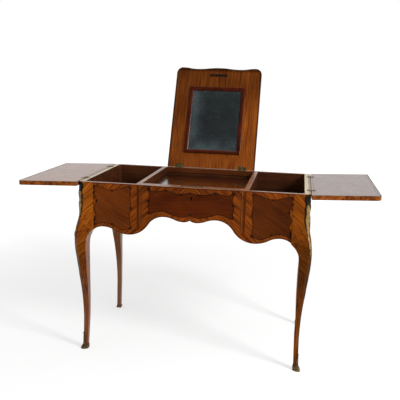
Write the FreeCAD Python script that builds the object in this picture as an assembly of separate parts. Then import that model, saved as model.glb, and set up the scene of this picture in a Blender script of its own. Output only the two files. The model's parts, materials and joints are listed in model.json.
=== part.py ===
import FreeCAD, Part
import math
import os

from FreeCAD import Vector

# Poudreuse dressing table, shown open, in millimetres, +X to the right, +Y to the back, +Z up.
# The pieces are made about the middle of the four feet, and at the end they move together, so that
# the origin is on the floor below the middle of the open table's outline.

# Driving dimensions of the carcass
case_width = 946
case_depth = 506
rim_height = 745
half_width = case_width / 2
half_depth = case_depth / 2
front_thickness = 20
side_thickness = 25
back_thickness = 18
partition_thickness = 20
opening_half = 210
door_gap = 1

# Posts and cabriole legs
post_width = 66
post_depth = 72
post_diagonal = 94
swell_drop = 105
knee_drop = 245
knee_out = 17.5
ankle_height = 150
ankle_in = 16
foot_in = 12
leg_joint_drop = 268
leg_joint_in = 42
calf_inner_drop = 350
calf_inner_in = 31.5
shin_inner_height = 240
shin_inner_in = 36
foot_inner_in = 31
post_cant = 16
knee_cant = 15
ankle_cant = 4

# Scalloped aprons: places out from the middle or in from the corner, and drops from the rim
cusp_drop = 134
lobe_half = 26
lobe_drop = 142
centre_arch_half = 105
centre_arch_drop = 126
side_lobe_half = 261
side_lobe_drop = 213
leg_arch_in = 107
leg_arch_drop = 185
side_arch_in = 118
side_apron_drop = 24
front_turn_shares = (0.5, 0.45, 0.55)
side_turn_shares = (0.5,)
half_share = 0.5
knee_share = 0.34

# Plan of the front
bow_depth = 7
hollow_in = 97
hollow_depth = 3.5

# Wells, tray and hinge rail
well_depth = 167
well_floor_thickness = 8
well_cant = 10
cleat_size = 8
tray_depth = 33
tray_thickness = 6
hinge_rail_depth = 22
hinge_rail_height = 22
tray_rail_back_in = 43
tray_rail_drop = 46
fit = 0.5
tenon_length = 16
tenon_thickness = 9
tenon_shoulder = 22
tenon_fit = 0.2

# Top leaves
top_thickness = 18
top_lift = 0.4
front_overhang = 11
lid_side_over = 2.5
leaf_gap = 1
lip_width = 4
lid_wave = 7
lid_dip_half = 108
lid_corner_radius = 30
flap_corner_radius = 20
lid_open_degrees = 113.2
left_open_degrees = 182.15
right_open_degrees = 177.36

# Butt hinges
hinge_axis_out = 1.1
hinge_axis_lift = 0.2
knuckle_radius = 2.6
knuckle_count = 3
knuckle_gap = 0.2
pin_radius = 1.3
pin_fit = 0.05
leaf_thickness = 1.5
leaf_depth = 16
lid_leaf_length = 40
flap_leaf_length = 34
lid_hinge_in = 60.5
flap_hinge_in = 91
knuckle_clearance = 0.4

# Mirror and strike plate on the lid
moulding_half = 137
moulding_low = 75
moulding_front_in = 104.1
moulding_width = 18
moulding_height = 8
moulding_bevel = 9
moulding_bevel_depth = 5
moulding_round = 2
glass_thickness = 3
glass_rebate = 5
glass_fit = 0.3
strike_half = 45
strike_depth = 15
strike_thickness = 1.5
strike_slot_fit = 2

# Drawer
drawer_side_thickness = 10
drawer_side_gap = 3
drawer_base_gap = 6
drawer_top_gap = 1
drawer_end_gap = 10
drawer_back_thickness = 10
drawer_back_in = 10
drawer_bottom_thickness = 6
drawer_bottom_lift = 7
groove_depth = 4
slide_gap = 0.3
runner_height = 14
runner_width = 13
tail_depth = 10
tail_root = 11
tail_tip = 15
tail_count = 3
stop_in = 18
stop_width = 30
stop_height = 20

# Lock
lock_plate_half = 44
lock_half = 36
lock_height = 52
lock_depth = 18
lock_wall = 2
lock_top_gap = 0.2
bolt_thickness = 4
bolt_base_height = 10
bolt_half = 34
bolt_prong_width = 24
bolt_travel = 7
bolt_fit = 0.3
keyhole_x = 5
keyhole_down = 39
keyhole_radius = 2.6
keyhole_slot = 3
keyhole_drop = 9
liner_wall = 1.3
liner_depth = 9
liner_proud = 0.6

# Gilt bronze mounts
mount_top_drop = 3
mount_swell_drop = 58
mount_waist_drop = 100
mount_leaf_drop = 124
mount_leaf_share = 0.4
mount_half_top = 9.5
mount_half_swell = 13
mount_half_waist = 11.5
mount_half_leaf = 12.5
mount_half_tail = 2.5
mount_thick = 2
mount_proud = 5
mount_flap_gap = 4
fillet_proud = 1.6
fillet_depth = 8
sabot_height = 77
sabot_waist = 24
sabot_toe_height = 11
sabot_wall = 1.6
sabot_swell = 3.4
sabot_toe = 12
sabot_lip = 5.5
sabot_sole = 4
shoe_height = 24
shoe_wall = 1.5
shoe_swell = 3

# Cutting overrun and shared places
overrun = 10
front_inner = -half_depth + front_thickness
back_inner = half_depth - back_thickness
side_inner = half_width - side_thickness
post_in = half_width - post_width
hollow_half = post_in - hollow_in

# Heights of the legs and aprons
swell_height = rim_height - swell_drop
knee_height = rim_height - knee_drop
leg_joint_height = rim_height - leg_joint_drop
calf_inner_height = rim_height - calf_inner_drop
cusp_height = rim_height - cusp_drop
lobe_height = rim_height - lobe_drop
centre_arch_height = rim_height - centre_arch_drop
side_lobe_height = rim_height - side_lobe_drop
leg_arch_half = half_width - leg_arch_in
leg_arch_height = rim_height - leg_arch_drop
side_arch_half = half_depth - side_arch_in

# Places of the wells, tray and drawer
partition_inner = opening_half + door_gap
partition_outer = partition_inner + partition_thickness
well_floor_height = rim_height - well_depth
well_underside = well_floor_height - well_floor_thickness
back_apron_height = well_underside - cleat_size
tray_rail_front = front_inner + fit
tray_rail_back = -half_depth + tray_rail_back_in
tray_floor = rim_height - tray_depth
tray_underside = tray_floor - tray_thickness
drawer_side_outer = partition_inner - drawer_side_gap
drawer_side_inner = drawer_side_outer - drawer_side_thickness
drawer_back_end = back_inner - drawer_end_gap
drawer_base_height = centre_arch_height + drawer_base_gap
drawer_top_height = tray_underside - cleat_size - drawer_top_gap
drawer_side_height = drawer_top_height - drawer_base_height
lock_front = front_inner
lock_back = front_inner + lock_depth
lock_bottom = rim_height - lock_height
bolt_front = front_inner + (lock_depth - bolt_thickness) / 2
bolt_bottom = lock_bottom + lock_wall + bolt_fit

# Places of the top leaves and their hinges
axis_height = rim_height + hinge_axis_lift
lid_axis_y = half_depth + hinge_axis_out
flap_axis_x = half_width + hinge_axis_out
top_bottom = rim_height + top_lift
top_front = -half_depth - front_overhang
lid_half = opening_half + lid_side_over
lid_hinge_half = lid_half - lid_hinge_in
flap_hinge_half = half_depth - flap_hinge_in
moulding_high = lid_axis_y - top_front - moulding_front_in

# Heights of the gilt mounts
mount_top = rim_height - mount_top_drop
mount_swell = rim_height - mount_swell_drop
mount_waist = rim_height - mount_waist_drop
mount_leaf = rim_height - mount_leaf_drop
root_two = math.sqrt(2)


def box(low, high):
    """A block between its lowest and highest corner."""
    size = Vector(*high) - Vector(*low)
    return Part.makeBox(size.x, size.y, size.z, Vector(*low))


def cylinder(start, direction, radius, length):
    """A round bar from its start."""
    return Part.makeCylinder(radius, length, Vector(*start), Vector(*direction))


def mirrored_x(shape):
    """The same piece on the other side of the table."""
    return shape.mirror(Vector(0, 0, 0), Vector(1, 0, 0))


def mirrored_y(shape):
    """The same piece at the other end of the table."""
    return shape.mirror(Vector(0, 0, 0), Vector(0, 1, 0))


def mirrored(point):
    """The same point on the other side of the table."""
    return Vector(-point.x, point.y, point.z)


def chain(points):
    """Straight edges through the points."""
    return [Part.makeLine(a, b) for a, b in zip(points[:-1], points[1:])]


def arc_from(start, direction, end):
    """The arc that leaves the start in a direction and reaches the end."""
    chord = end - start
    normal = direction.cross(chord).cross(direction).normalize()
    radius = chord.dot(chord) / (2 * chord.dot(normal))
    centre = start + normal * radius
    middle = (start + end) * 0.5 - centre
    return Part.Arc(start, centre + middle.normalize() * radius, end).toShape()


def ogee(start, end, direction, turn_share):
    """Two arcs that leave the start and reach the end in the same direction."""
    turn = start + (end - start) * turn_share
    return [arc_from(start, direction, turn), arc_from(end, direction * -1, turn)]


def face(edges):
    """The flat face inside the closed edges."""
    return Part.Face(Part.Wire(Part.__sortEdges__(edges)))


def place(across, height, plane):
    """A point of an elevation: plane x is seen from the front and plane y from the side."""
    if plane == "x":
        return Vector(across, 0, height)
    return Vector(0, across, height)


def scallop(places, shares, plane):
    """Waves of an apron through its lobes and arches, then the quarter round into the leg."""
    points = [place(across, height, plane) for across, height in places]
    level = place(1, 0, plane)
    edges = []
    for index, turn_share in enumerate(shares):
        edges += ogee(points[index], points[index + 1], level, turn_share)
    arch, joint = points[-2:]
    radius = (joint - arch).dot(level)
    corner = place(places[-2][0] + radius, places[-2][1] - radius, plane)
    return edges + [arc_from(arch, level, corner)] + chain([corner, joint])


def leg_inner_edge(face_place, plane):
    """Inner outline of the cabriole leg, measured in from the face of the carcass."""
    joint = place(face_place - leg_joint_in, leg_joint_height, plane)
    calf = place(face_place - calf_inner_in, calf_inner_height, plane)
    shin = place(face_place - shin_inner_in, shin_inner_height, plane)
    down = place(0, -1, plane)
    return ogee(joint, calf, down, half_share) + ogee(calf, shin, down, half_share)


def below_apron(edges, start_height, face_place, plane):
    """The open space under an apron and between two legs, as one half of a prism."""
    shin = place(face_place - shin_inner_in, shin_inner_height, plane)
    ankle = place(face_place - shin_inner_in, ankle_height, plane)
    foot = place(face_place - foot_inner_in, 0, plane)
    below = place(face_place - foot_inner_in, -overrun, plane)
    middle = place(0, -overrun, plane)
    start = place(0, start_height, plane)
    straight = chain([shin, ankle, foot, below, middle, start])
    outline = edges + leg_inner_edge(face_place, plane) + straight
    return face(outline)


def front_space():
    """The space under the front apron: a cusp, two lobes and four arches."""
    cusp = place(0, cusp_height, "x")
    lobe = place(lobe_half, lobe_height, "x")
    places = [(lobe_half, lobe_height), (centre_arch_half, centre_arch_height),
              (side_lobe_half, side_lobe_height), (leg_arch_half, leg_arch_height),
              (half_width - leg_joint_in, leg_joint_height)]
    edges = [arc_from(lobe, place(-1, 0, "x"), cusp)] + scallop(places, front_turn_shares, "x")
    half = below_apron(edges, cusp_height, half_width, "x")
    prism = half.extrude(Vector(0, half_depth + overrun + front_overhang, 0))
    prism.translate(Vector(0, -half_depth - overrun - front_overhang, 0))
    return prism.fuse(mirrored_x(prism))


def back_space():
    """The space under the plain back board."""
    places = [(leg_arch_half, back_apron_height), (half_width - leg_joint_in, leg_joint_height)]
    level = chain([place(0, back_apron_height, "x"), place(leg_arch_half, back_apron_height, "x")])
    edges = level + scallop(places, (), "x")
    half = below_apron(edges, back_apron_height, half_width, "x")
    prism = half.extrude(Vector(0, half_depth + overrun + knee_out, 0))
    return prism.fuse(mirrored_x(prism))


def side_space():
    """The space under a side apron, through the whole width."""
    places = [(0, leg_arch_height - side_apron_drop), (side_arch_half, leg_arch_height),
              (half_depth - leg_joint_in, leg_joint_height)]
    edges = scallop(places, side_turn_shares, "y")
    half = below_apron(edges, leg_arch_height - side_apron_drop, half_depth, "y")
    prism = half.extrude(Vector(case_width + 2 * overrun + 2 * knee_out, 0, 0))
    prism.translate(Vector(-half_width - overrun - knee_out, 0, 0))
    return prism.fuse(mirrored_y(prism))


def leg_outer_edge(face_place, plane):
    """Outer outline of the leg: it swells from the post to the knee and hollows to the ankle."""
    swell = place(face_place, swell_height, plane)
    knee = place(face_place + knee_out, knee_height, plane)
    ankle = place(face_place - ankle_in, ankle_height, plane)
    down = place(0, -1, plane)
    return ogee(swell, knee, down, half_share) + ogee(knee, ankle, down, knee_share)


def leg_elevation(face_place, inner_place, plane):
    """The sawn outline of a leg in one elevation, still full towards the middle."""
    outer = leg_outer_edge(face_place, plane)
    rim_in = place(inner_place, rim_height, plane)
    rim_out = place(face_place, rim_height, plane)
    straight_end = place(face_place, swell_height, plane)
    ankle = place(face_place - ankle_in, ankle_height, plane)
    foot_out = place(face_place - foot_in, 0, plane)
    foot_in_place = place(inner_place, 0, plane)
    edges = chain([rim_in, rim_out, straight_end]) + outer
    return face(edges + chain([ankle, foot_out, foot_in_place, rim_in]))


def cant_edge(proud=0):
    """The canted outer corner of a post in its diagonal plane, from the rim to the floor."""
    def at(out, cant, height):
        return Vector((2 * out - cant) / root_two + proud, 0, height)
    top = at(0, post_cant, rim_height)
    swell = at(0, post_cant, swell_height)
    knee = at(knee_out, knee_cant, knee_height)
    ankle = at(-ankle_in, ankle_cant, ankle_height)
    foot = at(-foot_in, ankle_cant, 0)
    down = Vector(0, 0, -1)
    curve = ogee(swell, knee, down, half_share) + ogee(knee, ankle, down, knee_share)
    return [top, swell], curve, [ankle, foot]


def diagonal_blank():
    """What the cant on the outer corner and the cut on the inner corner leave of a post."""
    above, curve, below = cant_edge()
    inner_top = Vector(-post_diagonal / root_two, 0, rim_height)
    inner_foot = Vector(-post_diagonal / root_two, 0, 0)
    outline = face(chain([inner_top] + above) + curve + chain(below + [inner_foot, inner_top]))
    width = post_width + post_depth
    prism = outline.extrude(Vector(0, 2 * width, 0))
    prism.translate(Vector(0, -width, 0))
    return to_corner(prism)


def to_corner(shape):
    """From the diagonal plane to the right front corner of the carcass."""
    moved = shape.copy()
    moved.rotate(Vector(0, 0, 0), Vector(0, 0, 1), -45)
    moved.translate(Vector(half_width, -half_depth, 0))
    return moved


def leg_blank():
    """The right front leg before the aprons' scallops are cut."""
    front = leg_elevation(half_width, post_in, "x")
    front_prism = front.extrude(Vector(0, post_depth + 2 * knee_out, 0))
    front_prism.translate(Vector(0, -half_depth - 2 * knee_out, 0))
    side = leg_elevation(half_depth, half_depth - post_depth, "y")
    side_prism = side.extrude(Vector(post_width + 2 * knee_out, 0, 0))
    side_prism = mirrored_y(side_prism)
    side_prism.translate(Vector(post_in, 0, 0))
    return front_prism.common(side_prism).common(diagonal_blank())


def tenon(across, along, low, high, end, plane):
    """A tenon that stands out of the end of a board into the post beside it."""
    half = tenon_thickness / 2
    reach = along + math.copysign(tenon_length, end)
    near = min(along, reach)
    far = max(along, reach)
    if plane == "x":
        return box((near, across - half, low), (far, across + half, high))
    return box((across - half, near, low), (across + half, far, high))


def mortise(tongue):
    """The hole for a tenon, larger by the fit on the faces and at its end."""
    b = tongue.BoundBox
    low = (b.XMin - tenon_fit, b.YMin - tenon_fit, b.ZMin - tenon_fit)
    high = (b.XMax + tenon_fit, b.YMax + tenon_fit, b.ZMax + tenon_fit)
    return box(low, high)


def front_tenon():
    """Tenon of the right front panel."""
    across = front_inner - front_thickness / 2
    low = leg_arch_height + tenon_shoulder
    return tenon(across, post_in, low, rim_height - tenon_shoulder, 1, "x")


def back_tenon():
    """Right tenon of the back board."""
    across = half_depth - back_thickness / 2
    low = back_apron_height + tenon_shoulder
    return tenon(across, post_in, low, rim_height - tenon_shoulder, 1, "x")


def side_tenon():
    """Back tenon of the right side panel."""
    across = half_width - side_thickness / 2
    low = leg_arch_height + tenon_shoulder
    return tenon(across, half_depth - post_depth, low, rim_height - tenon_shoulder, 1, "y")


def well_room():
    """The open space of the right well above its floor, canted in its outer corners."""
    front_cant = front_inner + well_cant
    back_cant = back_inner - well_cant
    corners = [(partition_outer, front_inner), (side_inner - well_cant, front_inner),
               (side_inner, front_cant), (side_inner, back_cant),
               (side_inner - well_cant, back_inner), (partition_outer, back_inner)]
    points = [Vector(x, y, well_floor_height) for x, y in corners + corners[:1]]
    return face(chain(points)).extrude(Vector(0, 0, well_depth))


def legs(front, back, side):
    """The right cabriole legs, hollowed beside the well and mortised for the boards."""
    blank = leg_blank().cut(side)
    room = well_room()
    lift = box((0, -case_depth, -overrun), (case_width, case_depth, sabot_sole))
    front_leg = blank.cut(front).cut(lift).cut(room)
    front_leg = front_leg.cut(mortise(front_tenon())).cut(mortise(mirrored_y(side_tenon())))
    back_leg = mirrored_y(blank).cut(back).cut(lift).cut(room)
    back_leg = back_leg.cut(mortise(back_tenon())).cut(mortise(side_tenon()))
    return front_leg, back_leg


def front_region():
    """Everything behind the serpentine face of the front."""
    middle = Vector(0, -half_depth - bow_depth, 0)
    hollow = Vector(hollow_half, -half_depth + hollow_depth, 0)
    post = Vector(post_in, -half_depth, 0)
    across = Vector(1, 0, 0)
    right = ogee(middle, hollow, across, half_share) + ogee(hollow, post, across, half_share)
    back = Vector(post_in, half_depth, 0)
    behind = Vector(0, half_depth, 0)
    half = face(right + chain([post, back, behind, middle]))
    prism = half.extrude(Vector(0, 0, rim_height))
    return prism.fuse(mirrored_x(prism)).removeSplitter()


def front_panel(region, space):
    """The right front panel, from the drawer opening to the post."""
    low = (opening_half, -case_depth, leg_joint_height)
    high = (post_in, front_inner, rim_height)
    board = box(low, high).common(region).cut(space)
    return board.fuse(front_tenon())


def side_panel(space):
    """The right side panel with a tenon at each end."""
    reach = half_depth - post_depth
    board = box((side_inner, -reach, leg_joint_height), (half_width, reach, rim_height))
    board = board.cut(space)
    return board.fuse(side_tenon()).fuse(mirrored_y(side_tenon()))


def back_panel(space):
    """The back board, lowered in the middle for the hinge rail."""
    reach = post_in
    board = box((-reach, back_inner, leg_joint_height), (reach, half_depth, rim_height))
    rail = box((-partition_inner, back_inner, rim_height - hinge_rail_height),
               (partition_inner, half_depth, rim_height))
    board = board.cut(space).cut(rail)
    return board.fuse(back_tenon()).fuse(mirrored_x(back_tenon()))


def partition():
    """The right partition between well and tray."""
    low = (partition_inner, front_inner, well_underside)
    return box(low, (partition_outer, back_inner, rim_height))


def well_bottom(front_leg, back_leg):
    """The floor of the right well, cut round both posts."""
    low = (partition_outer, front_inner, well_underside)
    board = box(low, (side_inner, back_inner, well_floor_height))
    return board.cut(front_leg).cut(back_leg)


def well_cleats():
    """Strips that carry the well floors, glued to the front panels and to the back board."""
    top = well_underside
    low = top - cleat_size
    end = leg_arch_half - cleat_size
    start = partition_outer
    back = box((start, back_inner - cleat_size, low), (end, back_inner, top))
    front = box((start, front_inner, low), (end, front_inner + cleat_size, top))
    return Part.makeCompound([back, front, mirrored_x(back), mirrored_x(front)])


def tray_bottom():
    """The polished floor of the tray under the mirror."""
    low = (-partition_inner, tray_rail_back, tray_underside)
    return box(low, (partition_inner, back_inner, tray_floor))


def tray_front_rail():
    """The rail behind the drawer front, hollowed for the lock."""
    low = (-partition_inner, tray_rail_front, rim_height - tray_rail_drop)
    rail = box(low, (partition_inner, tray_rail_back, rim_height))
    reach = lock_plate_half + fit
    room = box((-reach, tray_rail_front - overrun, rim_height - tray_rail_drop - overrun),
               (reach, lock_back + fit, rim_height + overrun))
    return rail.cut(room)


def tray_cleats():
    """Strips on the partitions that carry the tray floor."""
    low = (partition_inner - cleat_size, tray_rail_back, tray_underside - cleat_size)
    strip = box(low, (partition_inner, back_inner, tray_underside))
    return Part.makeCompound([strip, mirrored_x(strip)])


def hinge_rail(cutters):
    """The rail along the back of the tray that carries the mirror's hinges."""
    low = (-partition_inner, half_depth - hinge_rail_depth, rim_height - hinge_rail_height)
    rail = box(low, (partition_inner, half_depth, rim_height))
    return cut_all(rail, cutters)


def cut_all(shape, cutters):
    """The shape less every cutter."""
    for cutter in cutters:
        shape = shape.cut(cutter)
    return shape


def drawer_runners():
    """The strips on the partitions on which the drawer runs."""
    top = drawer_base_height - slide_gap
    low = (partition_inner - runner_width, front_inner, top - runner_height)
    strip = box(low, (partition_inner, back_inner, top))
    return Part.makeCompound([strip, mirrored_x(strip)])


def drawer_stops():
    """Two blocks on the back board that stop the drawer flush with the front."""
    end = drawer_side_inner - stop_in
    low = (end - stop_width, drawer_back_end + slide_gap, drawer_base_height + stop_height)
    block = box(low, (end, back_inner, drawer_base_height + 2 * stop_height))
    return Part.makeCompound([block, mirrored_x(block)])


def keyhole(grow, depth_front, depth_back):
    """A round hole with a slot below it, through the drawer front."""
    height = rim_height - keyhole_down
    start = (keyhole_x, depth_front, height)
    barrel = cylinder(start, (0, 1, 0), keyhole_radius + grow, depth_back - depth_front)
    half = keyhole_slot / 2 + grow
    slot = box((keyhole_x - half, depth_front, height - keyhole_drop - grow),
               (keyhole_x + half, depth_back, height))
    return barrel.fuse(slot)


def liner_front():
    """Where the keyhole liner ends, just proud of the bowed face."""
    return -half_depth - bow_depth - liner_proud


def escutcheon():
    """The brass liner of the keyhole."""
    front = liner_front()
    return keyhole(liner_wall, front, front + liner_depth).cut(
        keyhole(0, front - overrun, front + liner_depth + overrun))


def dovetails(grow=0):
    """The tails at the front of the right drawer side."""
    pitch = drawer_side_height / tail_count
    tails = []
    for index in range(tail_count):
        middle = drawer_base_height + (index + 0.5) * pitch
        root = tail_root / 2 + grow
        tip = tail_tip / 2 + grow
        end = front_inner - tail_depth - grow
        corners = [Vector(0, front_inner, middle - root), Vector(0, front_inner, middle + root),
                   Vector(0, end, middle + tip), Vector(0, end, middle - tip)]
        tail = face(chain(corners + corners[:1])).extrude(Vector(drawer_side_thickness + grow, 0, 0))
        tail.translate(Vector(drawer_side_inner - grow, 0, 0))
        tails.append(tail)
    return tails


def drawer_front(region, space):
    """The bowed drawer front with its scallop, keyhole and sockets for the tails."""
    reach = opening_half - door_gap
    low = (-reach, -case_depth, leg_joint_height)
    board = box(low, (reach, front_inner, rim_height)).common(region).cut(space)
    front = liner_front()
    cutters = [keyhole(liner_wall, front - overrun, front + liner_depth),
               keyhole(0, front - overrun, front_inner + overrun), drawer_bottom()]
    for tail in dovetails(tenon_fit):
        cutters += [tail, mirrored_x(tail)]
    return cut_all(board, cutters)


def drawer_side():
    """The right drawer side with its dovetails and the groove for the bottom."""
    low = (drawer_side_inner, front_inner, drawer_base_height)
    high = (drawer_side_outer, drawer_back_end, drawer_base_height + drawer_side_height)
    board = box(low, high)
    for tail in dovetails():
        board = board.fuse(tail)
    return board.cut(drawer_bottom()).cut(drawer_back())


def drawer_back():
    """The back of the drawer, housed in both sides, standing on the bottom."""
    reach = drawer_side_inner + groove_depth
    end = drawer_back_end - drawer_back_in
    low = (-reach, end - drawer_back_thickness,
           drawer_base_height + drawer_bottom_lift + drawer_bottom_thickness)
    return box(low, (reach, end, drawer_base_height + drawer_side_height))


def drawer_bottom():
    """The bottom, slid in from the back in grooves of the sides and the front."""
    reach = drawer_side_inner + groove_depth
    low_height = drawer_base_height + drawer_bottom_lift
    low = (-reach, front_inner - groove_depth, low_height)
    high = (reach, drawer_back_end, low_height + drawer_bottom_thickness)
    return box(low, high)


def lock_case():
    """The brass case of the till lock, slotted on top for the two prongs."""
    shell = box((-lock_half, lock_front, lock_bottom), (lock_half, lock_back, rim_height))
    hollow = box((-lock_half + lock_wall, lock_front + lock_wall, lock_bottom + lock_wall),
                 (lock_half - lock_wall, lock_back - lock_wall, rim_height - lock_wall))
    plate = box((-lock_plate_half, lock_front, lock_bottom),
                (lock_plate_half, lock_front + lock_wall, rim_height))
    shell = shell.cut(hollow).fuse(plate)
    keyway = keyhole(0, lock_front - overrun, lock_front + lock_wall + bolt_fit)
    return cut_all(shell, bolt_prongs(bolt_fit) + [keyway])


def bolt_prongs(grow=0):
    """The two prongs that rise out of the lock into the strike plate."""
    prongs = []
    for side in (-1, 1):
        outer = side * bolt_half
        inner = side * (bolt_half - bolt_prong_width)
        low_x = min(outer, inner) - grow
        high_x = max(outer, inner) + grow
        top = rim_height - lock_top_gap + (overrun if grow else 0)
        prongs.append(box((low_x, bolt_front - grow, bolt_bottom + bolt_base_height),
                          (high_x, bolt_front + bolt_thickness + grow, top)))
    return prongs


def lock_bolt():
    """The sliding bolt: a cross bar with two prongs."""
    bar = box((-bolt_half, bolt_front, bolt_bottom),
              (bolt_half, bolt_front + bolt_thickness, bolt_bottom + bolt_base_height))
    for prong in bolt_prongs():
        bar = bar.fuse(prong)
    return bar.removeSplitter()


def lid_slab(inset=0):
    """The closed lid: wavy front edge and rounded front corners."""
    front = top_front + inset
    side = lid_half - inset
    radius = lid_corner_radius - inset
    across = Vector(1, 0, 0)
    middle = Vector(0, front, 0)
    dip = Vector(lid_dip_half, front + lid_wave, 0)
    shoulder = Vector(side - radius, front, 0)
    corner = Vector(side, front + radius, 0)
    right = ogee(middle, dip, across, half_share) + ogee(dip, shoulder, across, half_share)
    right += [arc_from(shoulder, across, corner)]
    right += chain([corner, Vector(side, half_depth, 0), Vector(0, half_depth, 0), middle])
    half = face(right)
    solid = half.extrude(Vector(0, 0, top_thickness))
    return solid.fuse(mirrored_x(solid)).removeSplitter()


def flap_slab(inset=0):
    """The closed right flap, rounded at its free front corner."""
    inner = lid_half + leaf_gap + inset
    outer = half_width
    front = top_front + inset
    back = half_depth - inset
    radius = flap_corner_radius - inset
    bend = radius * (1 - 1 / root_two)
    arc = Part.Arc(Vector(inner, front + radius, 0), Vector(inner + bend, front + bend, 0),
                   Vector(inner + radius, front, 0)).toShape()
    points = [Vector(inner + radius, front, 0), Vector(outer, front, 0),
              Vector(outer, back, 0), Vector(inner, back, 0), Vector(inner, front + radius, 0)]
    return face([arc] + chain(points)).extrude(Vector(0, 0, top_thickness))


def lipped(slab):
    """A board of the top and the lipping round its show edges."""
    pieces = []
    for inset in (0, lip_width):
        solid = slab(inset)
        solid.translate(Vector(0, 0, top_bottom))
        pieces.append(solid)
    return pieces[1], pieces[0].cut(pieces[1])


def hinge(length):
    """One butt hinge lying closed along X with its pin at the origin.

    The fixed leaf lies below the pin and the moving leaf above it, both towards -Y.
    The pin is riveted into the knuckles of the fixed leaf and runs freely in the other.
    """
    knuckle = length / knuckle_count
    bore = cylinder((-length, 0, 0), (1, 0, 0), pin_radius + pin_fit, 2 * length)
    half_gap = knuckle_gap / 2
    reach = knuckle_radius + knuckle_clearance
    leaves = []
    for moving in (0, 1):
        if moving:
            low = top_lift - hinge_axis_lift
            high = low + leaf_thickness
        else:
            high = -hinge_axis_lift
            low = high - leaf_thickness
        leaf = box((-length / 2, -hinge_axis_out - leaf_depth, low), (length / 2, 0, high))
        for index in range(knuckle_count):
            start = -length / 2 + index * knuckle
            if index % 2 == moving:
                barrel = cylinder((start + half_gap, 0, 0), (1, 0, 0), knuckle_radius,
                                  knuckle - knuckle_gap)
                leaf = leaf.fuse(barrel)
            else:
                leaf = leaf.cut(box((start - half_gap, -reach, low),
                                    (start + knuckle + half_gap, 0, high)))
        leaves.append(leaf)
    pin = cylinder(((knuckle - length) / 2, 0, 0), (1, 0, 0), pin_radius, length - knuckle)
    return leaves[0].fuse(pin).removeSplitter(), leaves[1].removeSplitter().cut(bore)


def hinge_cutters(length, moving):
    """What a hinge leaf and its knuckles take out of the board that carries them."""
    surface = top_lift - hinge_axis_lift if moving else -hinge_axis_lift
    direction = 1 if moving else -1
    far = surface + direction * leaf_thickness
    leaf = box((-length / 2, -hinge_axis_out - leaf_depth, min(surface, far)),
               (length / 2, overrun, max(surface, far)))
    reach = length + 2 * knuckle_clearance
    room = cylinder((-reach / 2, 0, 0), (1, 0, 0), knuckle_radius + knuckle_clearance, reach)
    return [leaf, room]


def at_lid(shapes):
    """Pieces of one lid hinge at both of its places."""
    placed = []
    for x in (-lid_hinge_half, lid_hinge_half):
        for shape in shapes:
            piece = shape.copy()
            piece.translate(Vector(x, lid_axis_y, axis_height))
            placed.append(piece)
    return placed


def at_flap(shapes):
    """Pieces of one flap hinge at both of its places on the right side."""
    placed = []
    for y in (-flap_hinge_half, flap_hinge_half):
        for shape in shapes:
            piece = shape.copy()
            piece.rotate(Vector(0, 0, 0), Vector(0, 0, 1), -90)
            piece.translate(Vector(flap_axis_x, y, axis_height))
            placed.append(piece)
    return placed


def lid_place(up):
    """Place on the closed lid of something measured up the open lid from its hinge line."""
    return lid_axis_y - up


def mirror_moulding():
    """The bevelled moulding that holds the mirror on the inner face of the lid."""
    sight_half = moulding_half - moulding_width
    low = top_bottom - moulding_height
    frame = box((-moulding_half, lid_place(moulding_high), low),
                (moulding_half, lid_place(moulding_low), top_bottom))
    round_edges = [edge for edge in frame.Edges
                   if abs(edge.BoundBox.ZMax - low) < moulding_round / 2]
    frame = frame.makeFillet(moulding_round, round_edges)
    bevel = []
    for grow, height in ((0, low + moulding_bevel_depth), (moulding_bevel, low)):
        near = lid_place(moulding_high - moulding_width + grow)
        far = lid_place(moulding_low + moulding_width - grow)
        side = sight_half + grow
        corners = [Vector(-side, near, height), Vector(side, near, height),
                   Vector(side, far, height), Vector(-side, far, height)]
        bevel.append(Part.Wire(chain(corners + corners[:1])))
    sight = box((-sight_half, lid_place(moulding_high - moulding_width), low - overrun),
                (sight_half, lid_place(moulding_low + moulding_width), top_bottom + overrun))
    return frame.cut(Part.makeLoft(bevel, True, True)).cut(sight)


def mirror_glass(grow=0):
    """The looking glass behind the moulding, or the recess for it when grown."""
    half = moulding_half - moulding_width + glass_rebate + grow
    near = lid_place(moulding_high - moulding_width + glass_rebate) - grow
    far = lid_place(moulding_low + moulding_width - glass_rebate) + grow
    return box((-half, near, top_bottom), (half, far, top_bottom + glass_thickness + grow))


def strike_slots(depth):
    """The two slots for the prongs of the lock bolt."""
    slots = []
    for prong in bolt_prongs():
        b = prong.BoundBox
        low = (b.XMin - strike_slot_fit, b.YMin - strike_slot_fit, top_bottom - overrun)
        high = (b.XMax + strike_slot_fit, b.YMax + strike_slot_fit, top_bottom + depth)
        slots.append(box(low, high))
    return slots


def strike_blank():
    """The brass strike plate, let into the inner face of the lid."""
    middle = bolt_front + bolt_thickness / 2
    return box((-strike_half, middle - strike_depth / 2, top_bottom),
               (strike_half, middle + strike_depth / 2, top_bottom + strike_thickness))


def opened_lid(shape):
    """A piece of the lid turned back to its stop."""
    turned = shape.copy()
    turned.rotate(Vector(0, lid_axis_y, axis_height), Vector(1, 0, 0), -lid_open_degrees)
    return turned


def opened_right(shape):
    """A piece of the right flap turned out to its stop."""
    turned = shape.copy()
    turned.rotate(Vector(flap_axis_x, 0, axis_height), Vector(0, 1, 0), right_open_degrees)
    return turned


def opened_left(shape):
    """A closed piece of the right flap, mirrored to the left and turned out to its stop."""
    turned = mirrored_x(shape)
    turned.rotate(Vector(-flap_axis_x, 0, axis_height), Vector(0, 1, 0), -left_open_degrees)
    return turned


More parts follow.
